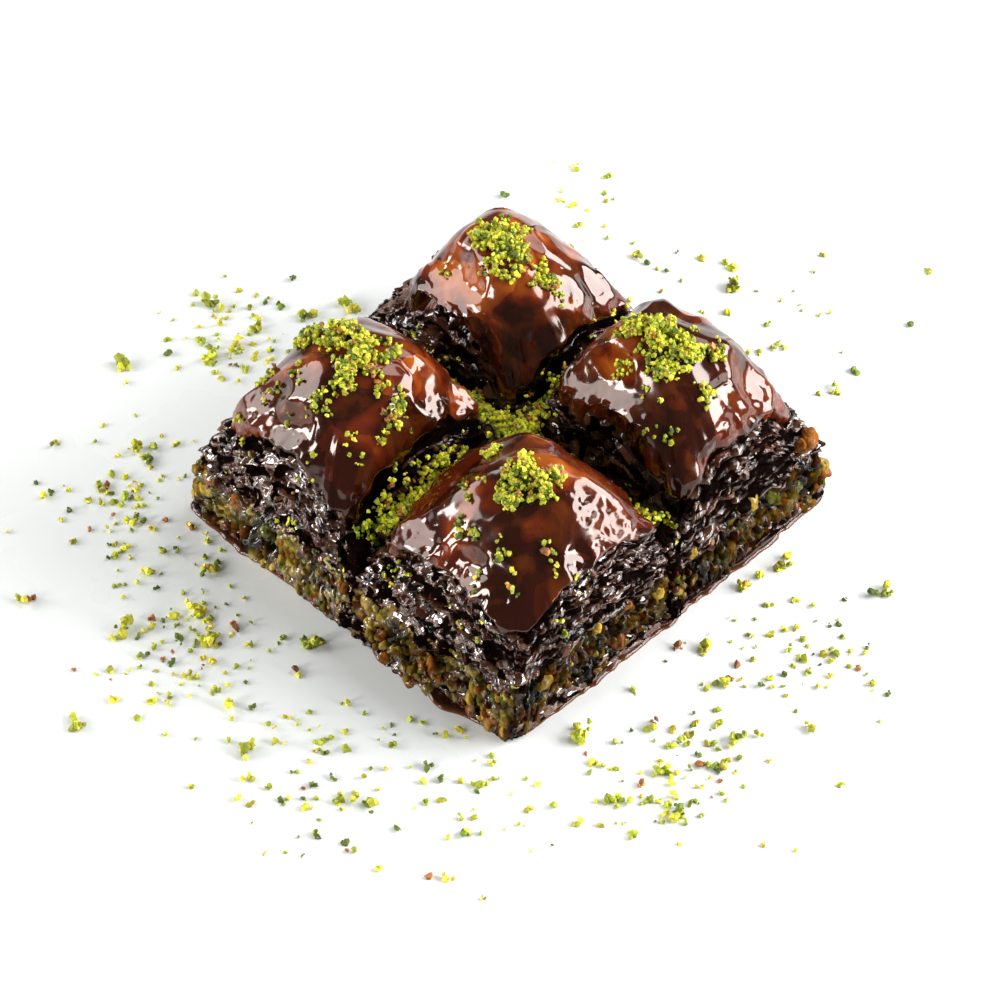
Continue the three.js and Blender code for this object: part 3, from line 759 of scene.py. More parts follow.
def chopped_nuts(name, square):
    """Larger bits of nut along the open sides: those that show in front, and others by lot."""
    random = np.random.default_rng(square["seed"])
    parts = []
    shown = SHOWN_NUTS[name]
    centres = []
    for side, at, height, radius, tone in shown:
        start, end = np.array(square["foot"])[[side, side + 1], side]
        centres.append(side_place(square, side, (at - start) / (end - start), height, 0.15 * radius))
    if shown:
        radii = [nut[3] for nut in shown]
        tones = CHOPPED_TONES[[nut[4] for nut in shown]]
        parts.append(uneven_bits(centres, radii, tones, random, 3, lumpy=0.5, chops=10))
    for smallest, largest, count, divisions in NUT_SIZES:
        centres = []
        radii = []
        for side in open_sides(square):
            for _ in range(count):
                radius = random.uniform(smallest, largest)
                height = random.uniform(0.5 + 0.6 * radius, FILLING_TOP - 0.3 * radius)
                sunk = random.uniform(-0.2, 0.6) * radius
                centres.append(side_place(square, side, random.uniform(0.02, 0.98), height, sunk))
                radii.append(radius)
        tones = CHOPPED_TONES[random.choice(len(CHOPPED_TONES), len(centres), p=CHOPPED_SHARES)]
        # Painted shade: the nuts are darker on some sides than others.
        tones = tones * np.repeat(PAINTED_SIDE_SHADE[open_sides(square)], count, axis=0) ** 0.7
        parts.append(uneven_bits(centres, radii, tones, random, divisions, lumpy=0.5, chops=8))
    centres = [
        (*(CUT_END_OF[name] + random.uniform(-1.1, 1.1, 2)), random.uniform(0.8, FILLING_TOP))
        for _ in range(CUT_END_NUTS)
    ]
    tones = CHOPPED_TONES[random.choice(len(CHOPPED_TONES), len(centres), p=CHOPPED_SHARES)] * 0.7
    radii = random.uniform(0.5, 1.1, len(centres))
    parts.append(uneven_bits(centres, radii, tones, random, 2, lumpy=0.5, chops=8))
    if name == "front":
        heaped = np.repeat(np.array(SPILL) - [0, 0, 1.2], SPILLED_BITS, axis=0)
        reach = [SPILL_RADIUS, SPILL_RADIUS, SPILL_RADIUS * 0.8]
        spilled = heaped + random.normal(0, 0.5, heaped.shape) * reach
        spilled[:, 2] = np.maximum(spilled[:, 2], 0.5)
        tones = CHOPPED_TONES[random.choice(3, len(spilled))] * 0.85
        radii = random.uniform(0.4, 1.1, len(spilled))
        parts.append(uneven_bits(spilled, radii, tones, random, 2, lumpy=0.5, chops=8))
    return joined(parts)


nut_flesh = nut_flesh_effect()
syrupy_nuts = chopped_nut_finish()
for name, square in SQUARES.items():
    points, faces, tones = nut_paste(square)
    place_piece(
        f"nut_paste_{name}", "nut_filling", points, faces, syrupy_nuts,
        replaced=[f"pistachio_filling_{name}"], marks={"tone": tones},
    )
    points, faces, tones = chopped_nuts(name, square)
    place_piece(f"chopped_nuts_{name}", "nut_filling", points, faces, syrupy_nuts, marks={"tone": tones})

# Upper pastry
# Thin sheets of pastry, baked into crumpled layers that the knife has torn at the sides, under
# a domed crust. The crust is glazed with thick syrup: amber on top, nearly black low down, and
# painted more amber or darker towards the viewer's right and towards the viewer as painted light.
# The sheets are darkened in their gaps with painted shade.
CRUST_LIP = 0.8
CRUST_THICKNESS = 1.0
CRUST_SPREAD = 1.14
CRUST_WAIST = 0.085
CRUST_STEPS = 318
CRUST_WAVES = 0.8
EDGE_SQUARENESS = 4.4
PEAK_SQUARENESS = 2
CLEAR_OF_CORNERS = 2.3
PILLOW_CURVE = 2.35
FAR_CURVE = 2.9
CORNER_LOBE = 5.5
DENT_DEPTH = 0.5
GLAZE_REACH = 14
FLAT_SHARE = 0.92
# The shortest and longest runs of glaze, and how far below the crust's edge their rings lie
RUNS = (0.5, 5.2)
RUN_DROPS = (5.6, 4.8, 4.0, 3.3, 2.7, 2.1, 1.6, 1.15, 0.75, 0.4)
DOME_SIZES = np.concatenate([np.linspace(1, 0.86, 10), np.linspace(0.84, 0.03, 36)])
OPEN_WALL_CURVE = 1.6
CUT_WALL_CURVE = 1.0
WALL_STEPS = 440
WALL_RINGS = 54
WALL_HANG = 3.0
SHEET_PITCH = 1.15
LEAF_LENGTHS = (1.7, 3.6)
LOOSE_LEAVES = 80
LEAF_GRID = (11, 4)
HALF_LEAF_STEPS = (5, 19)
LEAF_THICKNESS = 0.2
LEAF_RED = (0.06, 0.015, 0.007, 1)
RED_LEAVES = 0.2
# Where the cuts come out of the block
CUT_ENDS = [(0, -39.9), (38.1, 0), (0, 37.9), (-38.9, 0)]
CLOSED_CUT_TOP = 17.5
CLOSED_CUT_RADIUS = 1.7
CLOSED_CUT_RINGS = 50
CLOSED_CUT_STEPS = 28
CUT_END_BITS = 60
# The way to the viewer's right and the way towards the viewer, in X and Y. The glaze's painted light runs
# along them.
VIEWER_WAYS = np.array([[0.72, 0.69], [0.69, -0.72]])
GLAZE_DEEP = (0.026, 0.004, 0.0015, 1)
GLAZE_RED = (0.13, 0.016, 0.0035, 1)
GLAZE_AMBER = (0.42, 0.095, 0.011, 1)
GLAZE_SHINE = (1.0, 0.84, 0.77, 1)
GLAZE_BEND = (0.007, 0.007, 0.007)


def dent(square, x, y):
    """Soft dents and swellings of a crust, different on each square."""
    seed = square["seed"]
    long = np.sin(0.33 * x + seed) * np.cos(0.29 * y + 2 * seed)
    return DENT_DEPTH * (long + 0.6 * np.sin(0.52 * y - 0.41 * x + 3 * seed))


def dome_ring(square, rim, size):
    """A ring of the dome, from size 1 at the crust's edge to 0 at its peak."""
    side, u, v = rim
    squareness = mix(PEAK_SQUARENESS, EDGE_SQUARENESS, size**3)
    u, v = rounded_off(u, v, squareness)
    off_corner = 1 - np.minimum(np.abs(u * v) * 2 ** (2 / squareness), 1) ** CORNER_LOBE
    arch = np.array(square["arches"])[side] * off_corner**CLEAR_OF_CORNERS
    spread = CRUST_SPREAD * (1 - CRUST_WAIST * off_corner)
    edge = between(square["crust"], u * spread, v * spread)
    peak = square["peak"]
    x = mix(peak[0], edge[:, 0], size)
    y = mix(peak[1], edge[:, 1], size)
    curve_u = np.where(u < 0, FAR_CURVE, PILLOW_CURVE)
    curve_v = np.where(v > 0, FAR_CURVE, PILLOW_CURVE)
    flare = (1 - np.abs(u) ** curve_u) * (1 - np.abs(v) ** curve_v)
    pillow = (1 - np.abs(size * u) ** curve_u) * (1 - np.abs(size * v) ** curve_v) - flare * size**6
    rise = np.clip(pillow, 0, 1) ** square["fullness"]
    z = mix(edge[:, 2] + arch, peak[2], rise) + dent(square, x, y) * np.sqrt(rise)
    return np.column_stack([x, y, z])


def as_triangles(faces):
    """Faces of three and four corners as triangles."""
    halves = [[face[:3], [face[0], *face[2:]]] if len(face) > 3 else [face] for face in faces]
    return np.array([triangle for half in halves for triangle in half])


def leaves(wall, cut, level_side, seed):
    """How far the frayed edges of thin leaves stand out of the side, and how much they droop.

    On some sides the leaves lie level, and on the others they are crumpled.
    """
    unrest = np.where(level_side, 0.3, 0.75)
    level = wall[..., 2] / SHEET_PITCH + 1.1 * waver(wall, [8, 8, 5], seed)
    level += unrest * waver(wall, 2.2, seed + 1)
    leaf = np.floor(level)
    part = level - leaf
    length = np.where(level_side, *LEAF_LENGTHS[::-1])
    along = np.stack([wall[..., 0] / length, wall[..., 1] / length, 7.7 * leaf], axis=-1)
    torn = waver(along, 1, seed + 2) + 0.6 * waver(2.3 * along, 1, seed + 3)
    frayed = np.minimum(1 - part, 5 * part) * (0.8 + 0.85 * torn)
    lumps = 0.8 * waver(wall, [4.2, 4.2, 3.2], seed + 5)
    folds = creases(wall, [1.5, 1.5, 1.9], seed + 7)
    lumps *= np.where(level_side, 0.45, 1.0)
    pleats = np.where(level_side, 0.12, 0.5) * folds
    stands_out = np.where(level_side, 1.8, 1.0) * frayed + lumps + pleats - 0.3
    droop = 0.4 * waver(wall, [1.6, 1.6, 1.1], seed + 6) - 0.25 * frayed
    return stands_out * np.where(cut, 0.6, 1.0), droop


def flattened(crust, flats, reach):
    """The crust with flatter places in its thick glaze, each turned to a side, sloping and bumpy."""
    crust = crust.copy()
    for x, y, long, wide, axis, bumps, (turn, slope) in flats:
        axis, turn, slope = np.radians([axis, turn, slope])
        away = crust[..., :2] - [x, y]
        along = away @ [np.cos(axis), np.sin(axis)] / long
        across = away @ [-np.sin(axis), np.cos(axis)] / wide
        size = np.hypot(along, across) + 0.25 * waver(crust, 3, x)
        plane = -np.tan(slope) * (away @ [np.sin(turn), -np.cos(turn)])
        level = np.quantile((crust[..., 2] - plane)[size < 1], 0.65)
        share = np.clip((1.6 - size) / 0.95, 0, 1)
        share = share * share * (3 - 2 * share) * reach * FLAT_SHARE
        uneven = 0.5 * bumps * waver(crust, 2.2, y) + 0.5 * bumps * waver(crust, 1.1, x)
        crust[..., 2] = mix(crust[..., 2], level + plane + uneven, share)
    return crust


def dome_folds(crust, sizes, seed):
    """Soft swellings of the crust, with a few wrinkles and shallow dimples."""
    soft = layered(crust, (0.95, 9, seed), (0.4, 4.4, seed + 1), (0.07, 2.0, seed + 2))
    wrinkles = np.clip(creases(crust, [6, 6, 10], seed + 3) - 0.5, 0, 1)
    wrinkles *= np.clip(waver(crust, 12, seed + 4) + 0.4, 0, 1)
    fine = np.clip(creases(crust, [3.2, 3.2, 5], seed + 7) - 0.55, 0, 1)
    fine *= np.clip(waver(crust, 7, seed + 8) + 0.2, 0, 1)
    return (soft + 1.1 * wrinkles + 0.4 * fine) * np.minimum(1, 0.45 + 3 * (1 - sizes))


def loose_leaves(square, wall):
    """Torn ends of leaves that stick out of the side, thin, wavy and drooping."""
    random = np.random.default_rng(square["seed"] + 5)
    grid = np.linspace(-1, 1, LEAF_GRID[0]), np.linspace(-0.7, 1, LEAF_GRID[1])
    across, out = np.meshgrid(*grid, indexing="ij")
    parts = []
    while len(parts) < LOOSE_LEAVES:
        least = [3, 0, HALF_LEAF_STEPS[0]]
        most = [len(wall) - 2, wall.shape[1], HALF_LEAF_STEPS[1]]
        ring, step, half_steps = random.integers(least, most)
        steps = (step + np.rint(across[:, 0] * half_steps).astype(int)) % wall.shape[1]
        foot = wall[ring, steps]
        if on_cut(foot).any():
            continue
        aside = foot[-1] - foot[0]
        outward = np.array([aside[1], -aside[0], 0]) / np.hypot(*aside[:2])
        torn = 1 + 0.6 * waver(np.dstack([across * half_steps * 0.35, 3 * out, out]), 1, len(parts))
        reach = random.uniform(0.45, 1.2) * (1 - 0.7 * np.abs(across) ** 3) * torn
        sheet = foot[:, None] + (out * reach)[..., None] * outward
        sag = random.uniform(-0.75, 0.2) * out * reach + random.uniform(-0.3, 0.1) * out**2
        sheet[..., 2] += sag + 0.25 * waver(sheet, 1.3, square["seed"] + len(parts))
        rim = np.concatenate([sheet, sheet[:, ::-1] - [0, 0, LEAF_THICKNESS]], axis=1)
        points, faces = skin_through(rim, rim[0].mean(axis=0), rim[-1].mean(axis=0))
        red = np.full((len(points), 3), float(random.random() < RED_LEAVES))
        parts.append((points, as_triangles(faces), red))
    return joined(parts)


def crust_edge(square, rim):
    """The wavy edge of the crust, and how far its waves have moved it."""
    seed = square["seed"]
    plain = dome_ring(square, rim, 1.0)
    edge = plain.copy()
    edge[:, 2] += CRUST_WAVES * layered(edge, (1, 7, seed + 12), (0.5, 2.8, seed + 16))
    ragged = layered(edge, (0.9, 6, seed + 13), (0.6, 2.4, seed + 17), (0.4, 1.2, seed + 19))
    edge = pushed_out(edge, square["peak"], CRUST_WAVES * ragged)
    return edge, edge - plain


def side_between(low, high, climb):
    """A ring of a side at a share of its height, steep at the foot and leaning in higher up."""
    drawn_in = climb ** np.where(on_cut(low), CUT_WALL_CURVE, OPEN_WALL_CURVE)
    ring = mix(low, high, drawn_in[:, None])
    ring[:, 2] = mix(low[:, 2], high[:, 2], climb)
    return ring


def torn_sheets(square):
    """The sides of the baked sheets, from the filling up to under the crust."""
    rim = crowded_rim(square, WALL_STEPS)
    middle = middle_of(square)
    low = side_ring(square, rim, FILLING_TOP, FILLING_SETBACK)
    high = pushed_out(crust_edge(square, rim)[0], square["peak"], -CRUST_LIP) - [0, 0, CRUST_THICKNESS]
    climbs = np.linspace(0, 1, WALL_RINGS)[:, None]
    wall = np.array([side_between(low, high, climb * np.ones(len(low))) for climb in climbs[:, 0]])
    stands_out, droop = leaves(wall, on_cut(low), rim[0] % 2 == 1, square["seed"])
    hangs = np.clip(0.3 + 1.2 * waver(low * [1, 1, 0], 4.5, square["seed"] + 30), 0, 1) * (1 - climbs) ** 4
    fade = np.minimum(1, 8 * climbs) * np.minimum(1, 6 * (1 - climbs) + 0.6)
    wall = pushed_out(wall, middle, stands_out * fade + 1.1 * hangs)
    wall[..., 2] += droop * fade - WALL_HANG * hangs
    points, faces = skin_through(wall, [*middle, FILLING_TOP], [*square["peak"][:2], high[:, 2].mean() + 4])
    # Painted shade: darker where the sheets sit back in the side, darker in patches, and darker on some
    # sides than others.
    gaps = 0.5 * waver(wall, [4.5, 4.5, 2.5], square["seed"] + 8)
    painted_gap_shade = np.array(square["painted_shades"])[rim[0]] + np.where(on_cut(low), 0.3, 0)
    painted_gap_shade = np.clip(painted_gap_shade + gaps - 0.9 * stands_out, 0, 1)
    level = np.tile(rim[0] % 2, WALL_RINGS).astype(float)
    marks = {
        "painted_gap_shade": np.concatenate([[0], painted_gap_shade.ravel(), [0]]),
        "level": np.concatenate([[0], level, [0]]),
    }
    return points, faces, marks, wall


def glaze_runs(square, rim, edge):
    """Rings of glaze that has run down over the sheets, from the lowest drips up to the edge."""
    seed = square["seed"]
    low = side_ring(square, rim, FILLING_TOP, FILLING_SETBACK)
    level = edge * [1, 1, 0]
    long = layered(level, (0.8, 3.6, seed + 21), (0.6, 1.5, seed + 22), level=0.4)
    corner = np.minimum(np.abs(rim[1]), np.abs(rim[2])) ** 8
    reach = mix(*RUNS, np.clip(long, 0, 1)) + 1.6 * corner
    rings = []
    for drop in RUN_DROPS:
        climb = np.clip(1 - drop / (edge[:, 2] - low[:, 2]), 0, 1)
        ring = side_between(low, edge, climb)
        tucked = -2.3 * np.clip(drop / reach, 0, 1.3) ** 1.4
        rings.append(pushed_out(ring, square["peak"], tucked + 0.4 * waver(ring, [1.7, 1.7, 6], seed + 23)))
    return rings


def glazed_dome(square):
    """The crust from its lowest runs of glaze to its peak, with how thin the glaze lies and its painted
    light.
    """
    seed = square["seed"]
    peak = square["peak"]
    rim = square_rim(CRUST_STEPS)
    edge, moved = crust_edge(square, rim)
    runs = glaze_runs(square, rim, edge)
    dome = [dome_ring(square, rim, size) + moved * size**8 for size in DOME_SIZES]
    crust = np.array([*runs, *dome])
    sizes = np.array([1.0] * len(runs) + DOME_SIZES.tolist())[:, None]
    reach = np.minimum(1, 0.2 + np.arange(len(crust))[:, None] / 12)
    crust[..., 2] += dome_folds(crust, sizes, seed + 6) * reach
    crust = flattened(crust, square["flats"], reach)
    pleats = layered(crust, (0.5, 6, seed + 9), (0.35, 2.4, seed + 14), (0.25, 1.2, seed + 15))
    crust = pushed_out(crust, peak, sizes**7 * pleats)
    share, *painted_light_slants = square["amber"]
    # Painted light: the glaze is painted more amber or darker towards the viewer's right and towards the
    # viewer.
    facing = (crust[..., :2] - peak[:2]) @ VIEWER_WAYS.T @ painted_light_slants / GLAZE_REACH
    streaks = layered(crust, (0.75, 8, seed + 10), (0.5, 3.5, seed + 11), (0.25, 1.5, seed + 18))
    amber = np.clip(0.85 * (1 - sizes**1.5) + facing + streaks + share - 0.12, 0, 1)
    amber[:len(runs)] = np.clip(0.14 + 0.3 * waver(crust[:len(runs)], [3, 3, 6], seed + 24), 0, 1)
    tip = crust[-1].mean(axis=0) + [0, 0, 0.02]
    points, faces = skin_through(crust, [*peak[:2], edge[:, 2].mean()], tip)
    return points, faces, np.concatenate([[0], amber.ravel(), [amber[-1].mean()]])


def sheets_finish():
    """Leaves of pastry dark with syrup, with painted shade that makes them almost black in the gaps between
    them.
    """
    material, tree, shader = new_finish("torn_pastry_sheets")
    painted_gap_shade = marked(tree, "painted_gap_shade")
    level = marked(tree, "level")
    scale = ranged(tree, level, start=380.0, end=250.0)
    levels = ranged(tree, level, start=1.2, end=4.6)
    crumple = with_effect(tree, wet_crumple, Scale=scale, Levels=levels)
    # Painted shade: the darker of the patchy shade and the shade marked on the mesh.
    darkest_painted_shade = reckoned(tree, "MAXIMUM", crumple["Painted shade"], painted_gap_shade)
    above = reckoned(tree, "SUBTRACT", 1.0, painted_gap_shade)
    set_sockets(tree, shader, {
        "Base Color": blended(tree, darkest_painted_shade, SOAKED_BROWN, SOAKED_DARK),
        "Roughness": 0.4,
        "IOR": 1.04,
        "Coat Weight": reckoned(tree, "MULTIPLY", crumple["Wet"], above),
        "Coat Roughness": 0.04,
        "Coat IOR": 2.1,
        "Normal": relief(tree, crumple["Height"], 0.6),
    })
    return material


def leaf_finish():
    """Single thin leaves, nearly black or a clear red-brown where the light gets through."""
    material, tree, shader = new_finish("loose_pastry_leaves")
    crumple = with_effect(tree, wet_crumple, Scale=700.0, Levels=1.0)
    # Painted shade: the leaves are darkened in patches.
    dark = blended(tree, crumple["Painted shade"], SOAKED_BROWN, SOAKED_DARK)
    set_sockets(tree, shader, {
        "Base Color": blended(tree, marked(tree, "red"), dark, LEAF_RED),
        "Roughness": 0.12,
        "IOR": 1.42,
        "Normal": relief(tree, crumple["Height"], 0.25),
    })
    return material


def glaze_finish():
    """Thick glaze: amber where it is thin and where light is painted, red-brown to black where it is deep,
    with a few pits.
    """
    material, tree, shader = new_finish("glazed_crust")
    place = place_of(tree)
    bend = add_node(tree, "TexNoise", {"Vector": place, "Scale": 130.0, "Detail": 3.0}).outputs["Color"]
    bent = add_node(tree, "VectorMath", {0: bend, 1: GLAZE_BEND, 2: place}, operation="MULTIPLY_ADD")
    cell = add_node(tree, "TexVoronoi", {"Vector": bent.outputs[0], "Scale": 130.0}).outputs["Color"]
    patch = ranged(tree, cell, 0.2, 0.8, -0.24, 0.24)
    amber = reckoned(tree, "ADD", marked(tree, "amber"), patch)
    deep = blended(tree, ranged(tree, amber, high=0.45), GLAZE_DEEP, GLAZE_RED)
    dome = with_effect(tree, syrup_depth, Thinness=ranged(tree, amber, 0.4), Deep=deep, Thin=GLAZE_AMBER)
    bubbles = add_node(tree, "TexVoronoi", {"Vector": place, "Scale": 300.0}).outputs["Distance"]
    pits = ranged(tree, bubbles, 0.05, 0.14)
    height = reckoned(tree, "MULTIPLY_ADD", pits, 0.3, noise(tree, 260.0, 1.0))
    froth = ranged(tree, noise(tree, 75.0), 0.6, 0.68, end=0.5)
    foam = reckoned(tree, "MULTIPLY_ADD", froth, noise(tree, 1100.0, 1.0), height)
    set_sockets(tree, shader, {
        "Base Color": dome["Color"],
        "Roughness": ranged(tree, noise(tree, 90.0), 0.3, 0.7, 0.05, 0.17),
        "IOR": 1.6,
        "Specular Tint": GLAZE_SHINE,
        "Normal": relief(tree, foam, 0.11),
    })
    return material


def closed_cut_ends():
    """Torn pastry and syrup that close the cuts where they come out at the sides of the block."""
    parts = []
    random = np.random.default_rng(83)
    heights = np.linspace(SYRUP_TOP, CLOSED_CUT_TOP, CLOSED_CUT_RINGS)
    turns = np.linspace(0, 2 * np.pi, CLOSED_CUT_STEPS, endpoint=False)
    for number, (x, y) in enumerate(CUT_ENDS):
        out = np.array([x, y]) / np.hypot(x, y)
        rings = []
        for height in heights:
            back = filling_setback(np.clip((height - BASE_TOP) / (FILLING_TOP - BASE_TOP), 0, 1))
            back += 0.25 * max(height - FILLING_TOP, 0)
            middle = np.array([x, y]) - out * (back + CLOSED_CUT_RADIUS - 0.6)
            rings.append(np.column_stack([
                middle[0] + CLOSED_CUT_RADIUS * np.cos(turns),
                middle[1] + CLOSED_CUT_RADIUS * np.sin(turns),
                np.full(len(turns), height),
            ]))
        rings = np.array(rings)
        bumps = 0.6 * waver(rings, [2, 2, 1.2], 40 + number)
        bumps += 0.4 * creases(rings, [1.2, 1.2, 0.8], 50 + number)
        rings = pushed_out(rings, rings.mean(axis=(0, 1)), bumps)
        points, faces = skin_through(rings, rings[0].mean(axis=0), rings[-1].mean(axis=0))
        # Painted shade: the core is as dark as the sheets' deepest painted shade, and the bits get some by
        # lot.
        parts.append((points, as_triangles(faces), np.ones((len(points), 3))))
        ring = random.integers(2, len(rings), CUT_END_BITS)
        spots = rings[ring, random.integers(0, len(turns), CUT_END_BITS)]
        painted_shades = random.uniform(0, 0.6, (CUT_END_BITS, 1)) * np.ones(3)
        radii = random.uniform(0.35, 0.9, CUT_END_BITS)
        parts.append(uneven_bits(spots, radii, painted_shades, random, 2, lumpy=0.8, chops=6))
    return joined(parts)


torn_pastry = sheets_finish()
leaf_skin = leaf_finish()
glazed_crust = glaze_finish()
points, faces, painted_shades = closed_cut_ends()
place_piece(
    "closed_ends_of_the_cuts", "crust", points, faces, torn_pastry,
    marks={"painted_gap_shade": painted_shades[:, 0], "level": 0 * painted_shades[:, 0]},
)
crusts = {}
sheets = {}
for name, square in SQUARES.items():
    points, faces, marks, wall = torn_sheets(square)
    sheets[name] = BVHTree.FromPolygons(points.tolist(), faces)
    place_piece(
        f"torn_sheets_{name}", "crust", points, faces, torn_pastry,
        replaced=[f"upper_pastry_{name}"], marks=marks,
    )
    points, faces, red = loose_leaves(square, wall)
    place_piece(f"loose_leaves_{name}", "crust", points, faces, leaf_skin, marks={"red": red[:, 0]})
    points, faces, amber = glazed_dome(square)
    crusts[name] = BVHTree.FromPolygons(points.tolist(), faces)
    place_piece(f"glazed_crust_{name}", "crust", points, faces, glazed_crust, marks={"amber": amber})

# Heaps of pistachio
# Ground pistachio dropped on the peaks in loose heaps, with some that rolled down the sides.
# The crumbs cling together in knobbly clumps, bright yellow-green with bits of brown skin.
# Drifts on each dome: where their middle is, how wide they spread, and how many crumbs they have
DRIFTS = {
    "left": [(-16.5, -19.0, 3.6, 120), (-22.5, -18.0, 3.3, 95), (-27.3, -19.8, 2.4, 50),
             (-14.5, -24.0, 1.9, 42), (-30.0, -27.3, 1.3, 16), (-25.0, -30.5, 1.5, 5),
             (-21.9, -27.5, 1.0, 3), (-16.0, -29.4, 1.1, 10), (-10.3, -20.8, 1.3, 6),
             (-6.5, -21.0, 1.4, 22), (-7.4, -29.6, 1.2, 4), (-14.4, -28.0, 0.8, 4),
             (-19.6, -32.3, 0.6, 2), (-5.0, -25.0, 1.0, 4), (-29.0, -37.0, 2.5, 5),
             (-14.0, -37.6, 4.0, 6)],
    "front": [(20.5, -19.5, 3.0, 92), (24.6, -18.3, 1.9, 36), (22.3, -23.4, 1.9, 34), (11.2, -16.6, 1.1, 12),
              (24.2, -28.9, 0.4, 1), (26.3, -29.6, 0.8, 4), (17.2, -29.7, 1.2, 4), (19.8, -29.3, 0.7, 3),
              (31.2, -24.1, 1.2, 4), (29.5, -31.0, 1.5, 3), (15.0, -25.0, 2.0, 4), (8.0, -37.6, 3.0, 6),
              (24.0, -37.8, 4.0, 6), (36.6, -25.0, 4.0, 4)],
    "right": [(17.5, 17.5, 3.4, 112), (21.6, 18.4, 2.6, 70), (12.6, 15.6, 2.3, 52), (21.5, 13.5, 1.6, 26),
              (14.6, 11.6, 1.4, 9), (24.5, 23.4, 1.3, 14), (27.5, 16.6, 1.3, 9), (20.3, 10.6, 1.6, 5),
              (27.7, 9.3, 1.5, 4), (24.0, 8.0, 2.0, 3)],
    "back": [(-18.5, 16.5, 3.3, 108), (-14.2, 17.0, 2.4, 54), (-21.6, 14.6, 1.8, 34), (-16.5, 12.4, 1.2, 12),
             (-10.2, 17.2, 1.5, 14), (-8.4, 18.2, 1.0, 8), (-6.8, 18.8, 0.8, 5), (-13.0, 13.0, 0.9, 6),
             (-25.3, 9.3, 0.6, 3)],
}
HEAP_HEIGHT = 1.9
HEAPED_FROM = 30
CORE_STEPS = 28
CORE_SIZES = np.linspace(1, 0.12, 7)
CRUMB_CROWDING = 2.0
CRUMBS_IN_A_CLUMP = 6
GROUND_TONES = np.array([
    (0.80, 0.78, 0.045),
    (0.50, 0.56, 0.030),
    (0.16, 0.23, 0.015),
    (0.94, 0.80, 0.065),
    (0.50, 0.18, 0.04),
])
GROUND_SHARES = [0.42, 0.27, 0.13, 0.13, 0.05]
KNOBS_IN_A_CRUMB = 4
ABOVE_ALL = 90


def ground_nut_finish():
    """Dry ground nut, dull and finely pitted."""
    material, tree, shader = new_finish("ground_pistachio")
    flesh = with_effect(tree, nut_flesh, Tone=marked(tree, "tone", "Color"), Scale=1500.0, Depth=0.4)
    set_sockets(tree, shader, {
        "Base Color": flesh["Color"],
        "Roughness": 0.6,
        "Normal": relief(tree, flesh["Height"], 0.25),
    })
    return material


def height_below(trees, x, y):
    """The height of the topmost of several surfaces at a place."""
    start = Vector((x, y, ABOVE_ALL))
    hits = [tree.ray_cast(start, Vector((0, 0, -1)))[0] for tree in trees]
    return max([hit.z for hit in hits if hit is not None], default=None)


def crumbs_of_nut(places, random, size=(0.26, 0.5)):
    """Broken crumbs at those places, each of a few sharp knobs of one tone that stick together."""
    centres = []
    radii = []
    tones = []
    for place in places:
        radius = random.uniform(*size)
        tone = GROUND_TONES[random.choice(len(GROUND_TONES), p=GROUND_SHARES)]
        for knob in range(random.integers(2, KNOBS_IN_A_CRUMB + 1)):
            offset = random.normal(0, 0.6 * radius, 3) if knob else np.zeros(3)
            centres.append(np.array(place) + offset)
            radii.append(radius * random.uniform(0.4, 1.1))
            tones.append(tone * random.uniform(0.55, 1.35))
    return uneven_bits(centres, radii, tones, random, 1, lumpy=0.75)


def heap_core(name):
    """A low bumpy mound under each larger drift, so that no crust shows through the heap."""
    parts = []
    turns = np.linspace(0, 2 * np.pi, CORE_STEPS, endpoint=False)
    for x, y, spread, count in DRIFTS[name]:
        if count < HEAPED_FROM:
            continue
        rings = []
        for size in CORE_SIZES:
            reach = spread * 0.85 * size
            ring = [(x + reach * np.cos(turn), y + reach * np.sin(turn)) for turn in turns]
            ground = [height_below([crusts[name], sheets[name]], *spot) or FILLING_TOP for spot in ring]
            lift = HEAP_HEIGHT * (1 - size**2) - 1.0
            rings.append([(*spot, below + lift) for spot, below in zip(ring, ground)])
        rings = np.array(rings)
        rings[..., 2] += 0.5 * waver(rings, 1.1, 3)
        top = rings[-1].mean(axis=0) + [0, 0, 0.05]
        points, faces = skin_through(rings, [x, y, rings[0, :, 2].min() - 0.5], top)
        parts.append((points, as_triangles(faces), np.tile(GROUND_TONES[2], (len(points), 1))))
    return parts


def heap_of_nut(name, seed):
    """The drifts of one dome as joined crumbs in clumps, highest in the middle of each drift."""
    random = np.random.default_rng(seed)
    parts = heap_core(name)
    places = []
    for x, y, spread, count in DRIFTS[name]:
        heap = count >= HEAPED_FROM
        in_a_clump = CRUMBS_IN_A_CLUMP if heap else 2
        for _ in range(int(np.ceil(count * CRUMB_CROWDING / in_a_clump))):
            middle = random.normal(0, 0.62, 2) * spread
            lift = 0.2
            if heap:
                lift = HEAP_HEIGHT * np.exp(-(middle @ middle) / spread**2) * random.uniform(0.45, 1.15)
            for shift in middle + random.normal(0, 0.42, (in_a_clump, 2)):
                spot = (x + shift[0], y + shift[1])
                ground = height_below([crusts[name], sheets[name]], *spot)
                if ground is not None:
                    places.append((*spot, ground + 0.2 + lift + random.normal(0, 0.22) * heap))
    parts.append(crumbs_of_nut(places, random))
    return joined(parts)


ground_nut = ground_nut_finish()
for name, square in SQUARES.items():
    points, faces, tones = heap_of_nut(name, square["seed"] + 20)
    place_piece(
        f"ground_nut_heap_{name}", "ground_pistachio", points, faces, ground_nut,
        replaced=[f"pistachio_heap_{name}"], marks={"tone": tones}, crisp=True,
    )

# Pistachio in the cuts
# Ground pistachio that slid off the domes and lies wedged in the cross of the two cuts, over a
# bed that the syrup has soaked dark. Its tones are lighter than the heaps', as less light gets in.
CUT_FILL_LOW = 13.5
CUT_FILL_TOP = 16.6
CUT_FILL_REACH = 31
CUT_FILL_WIDTH = 8
CUT_CORE_STATIONS = 90
CUT_CORE_PLACES = 14
CUT_CRUMBS_BELOW = 25.5
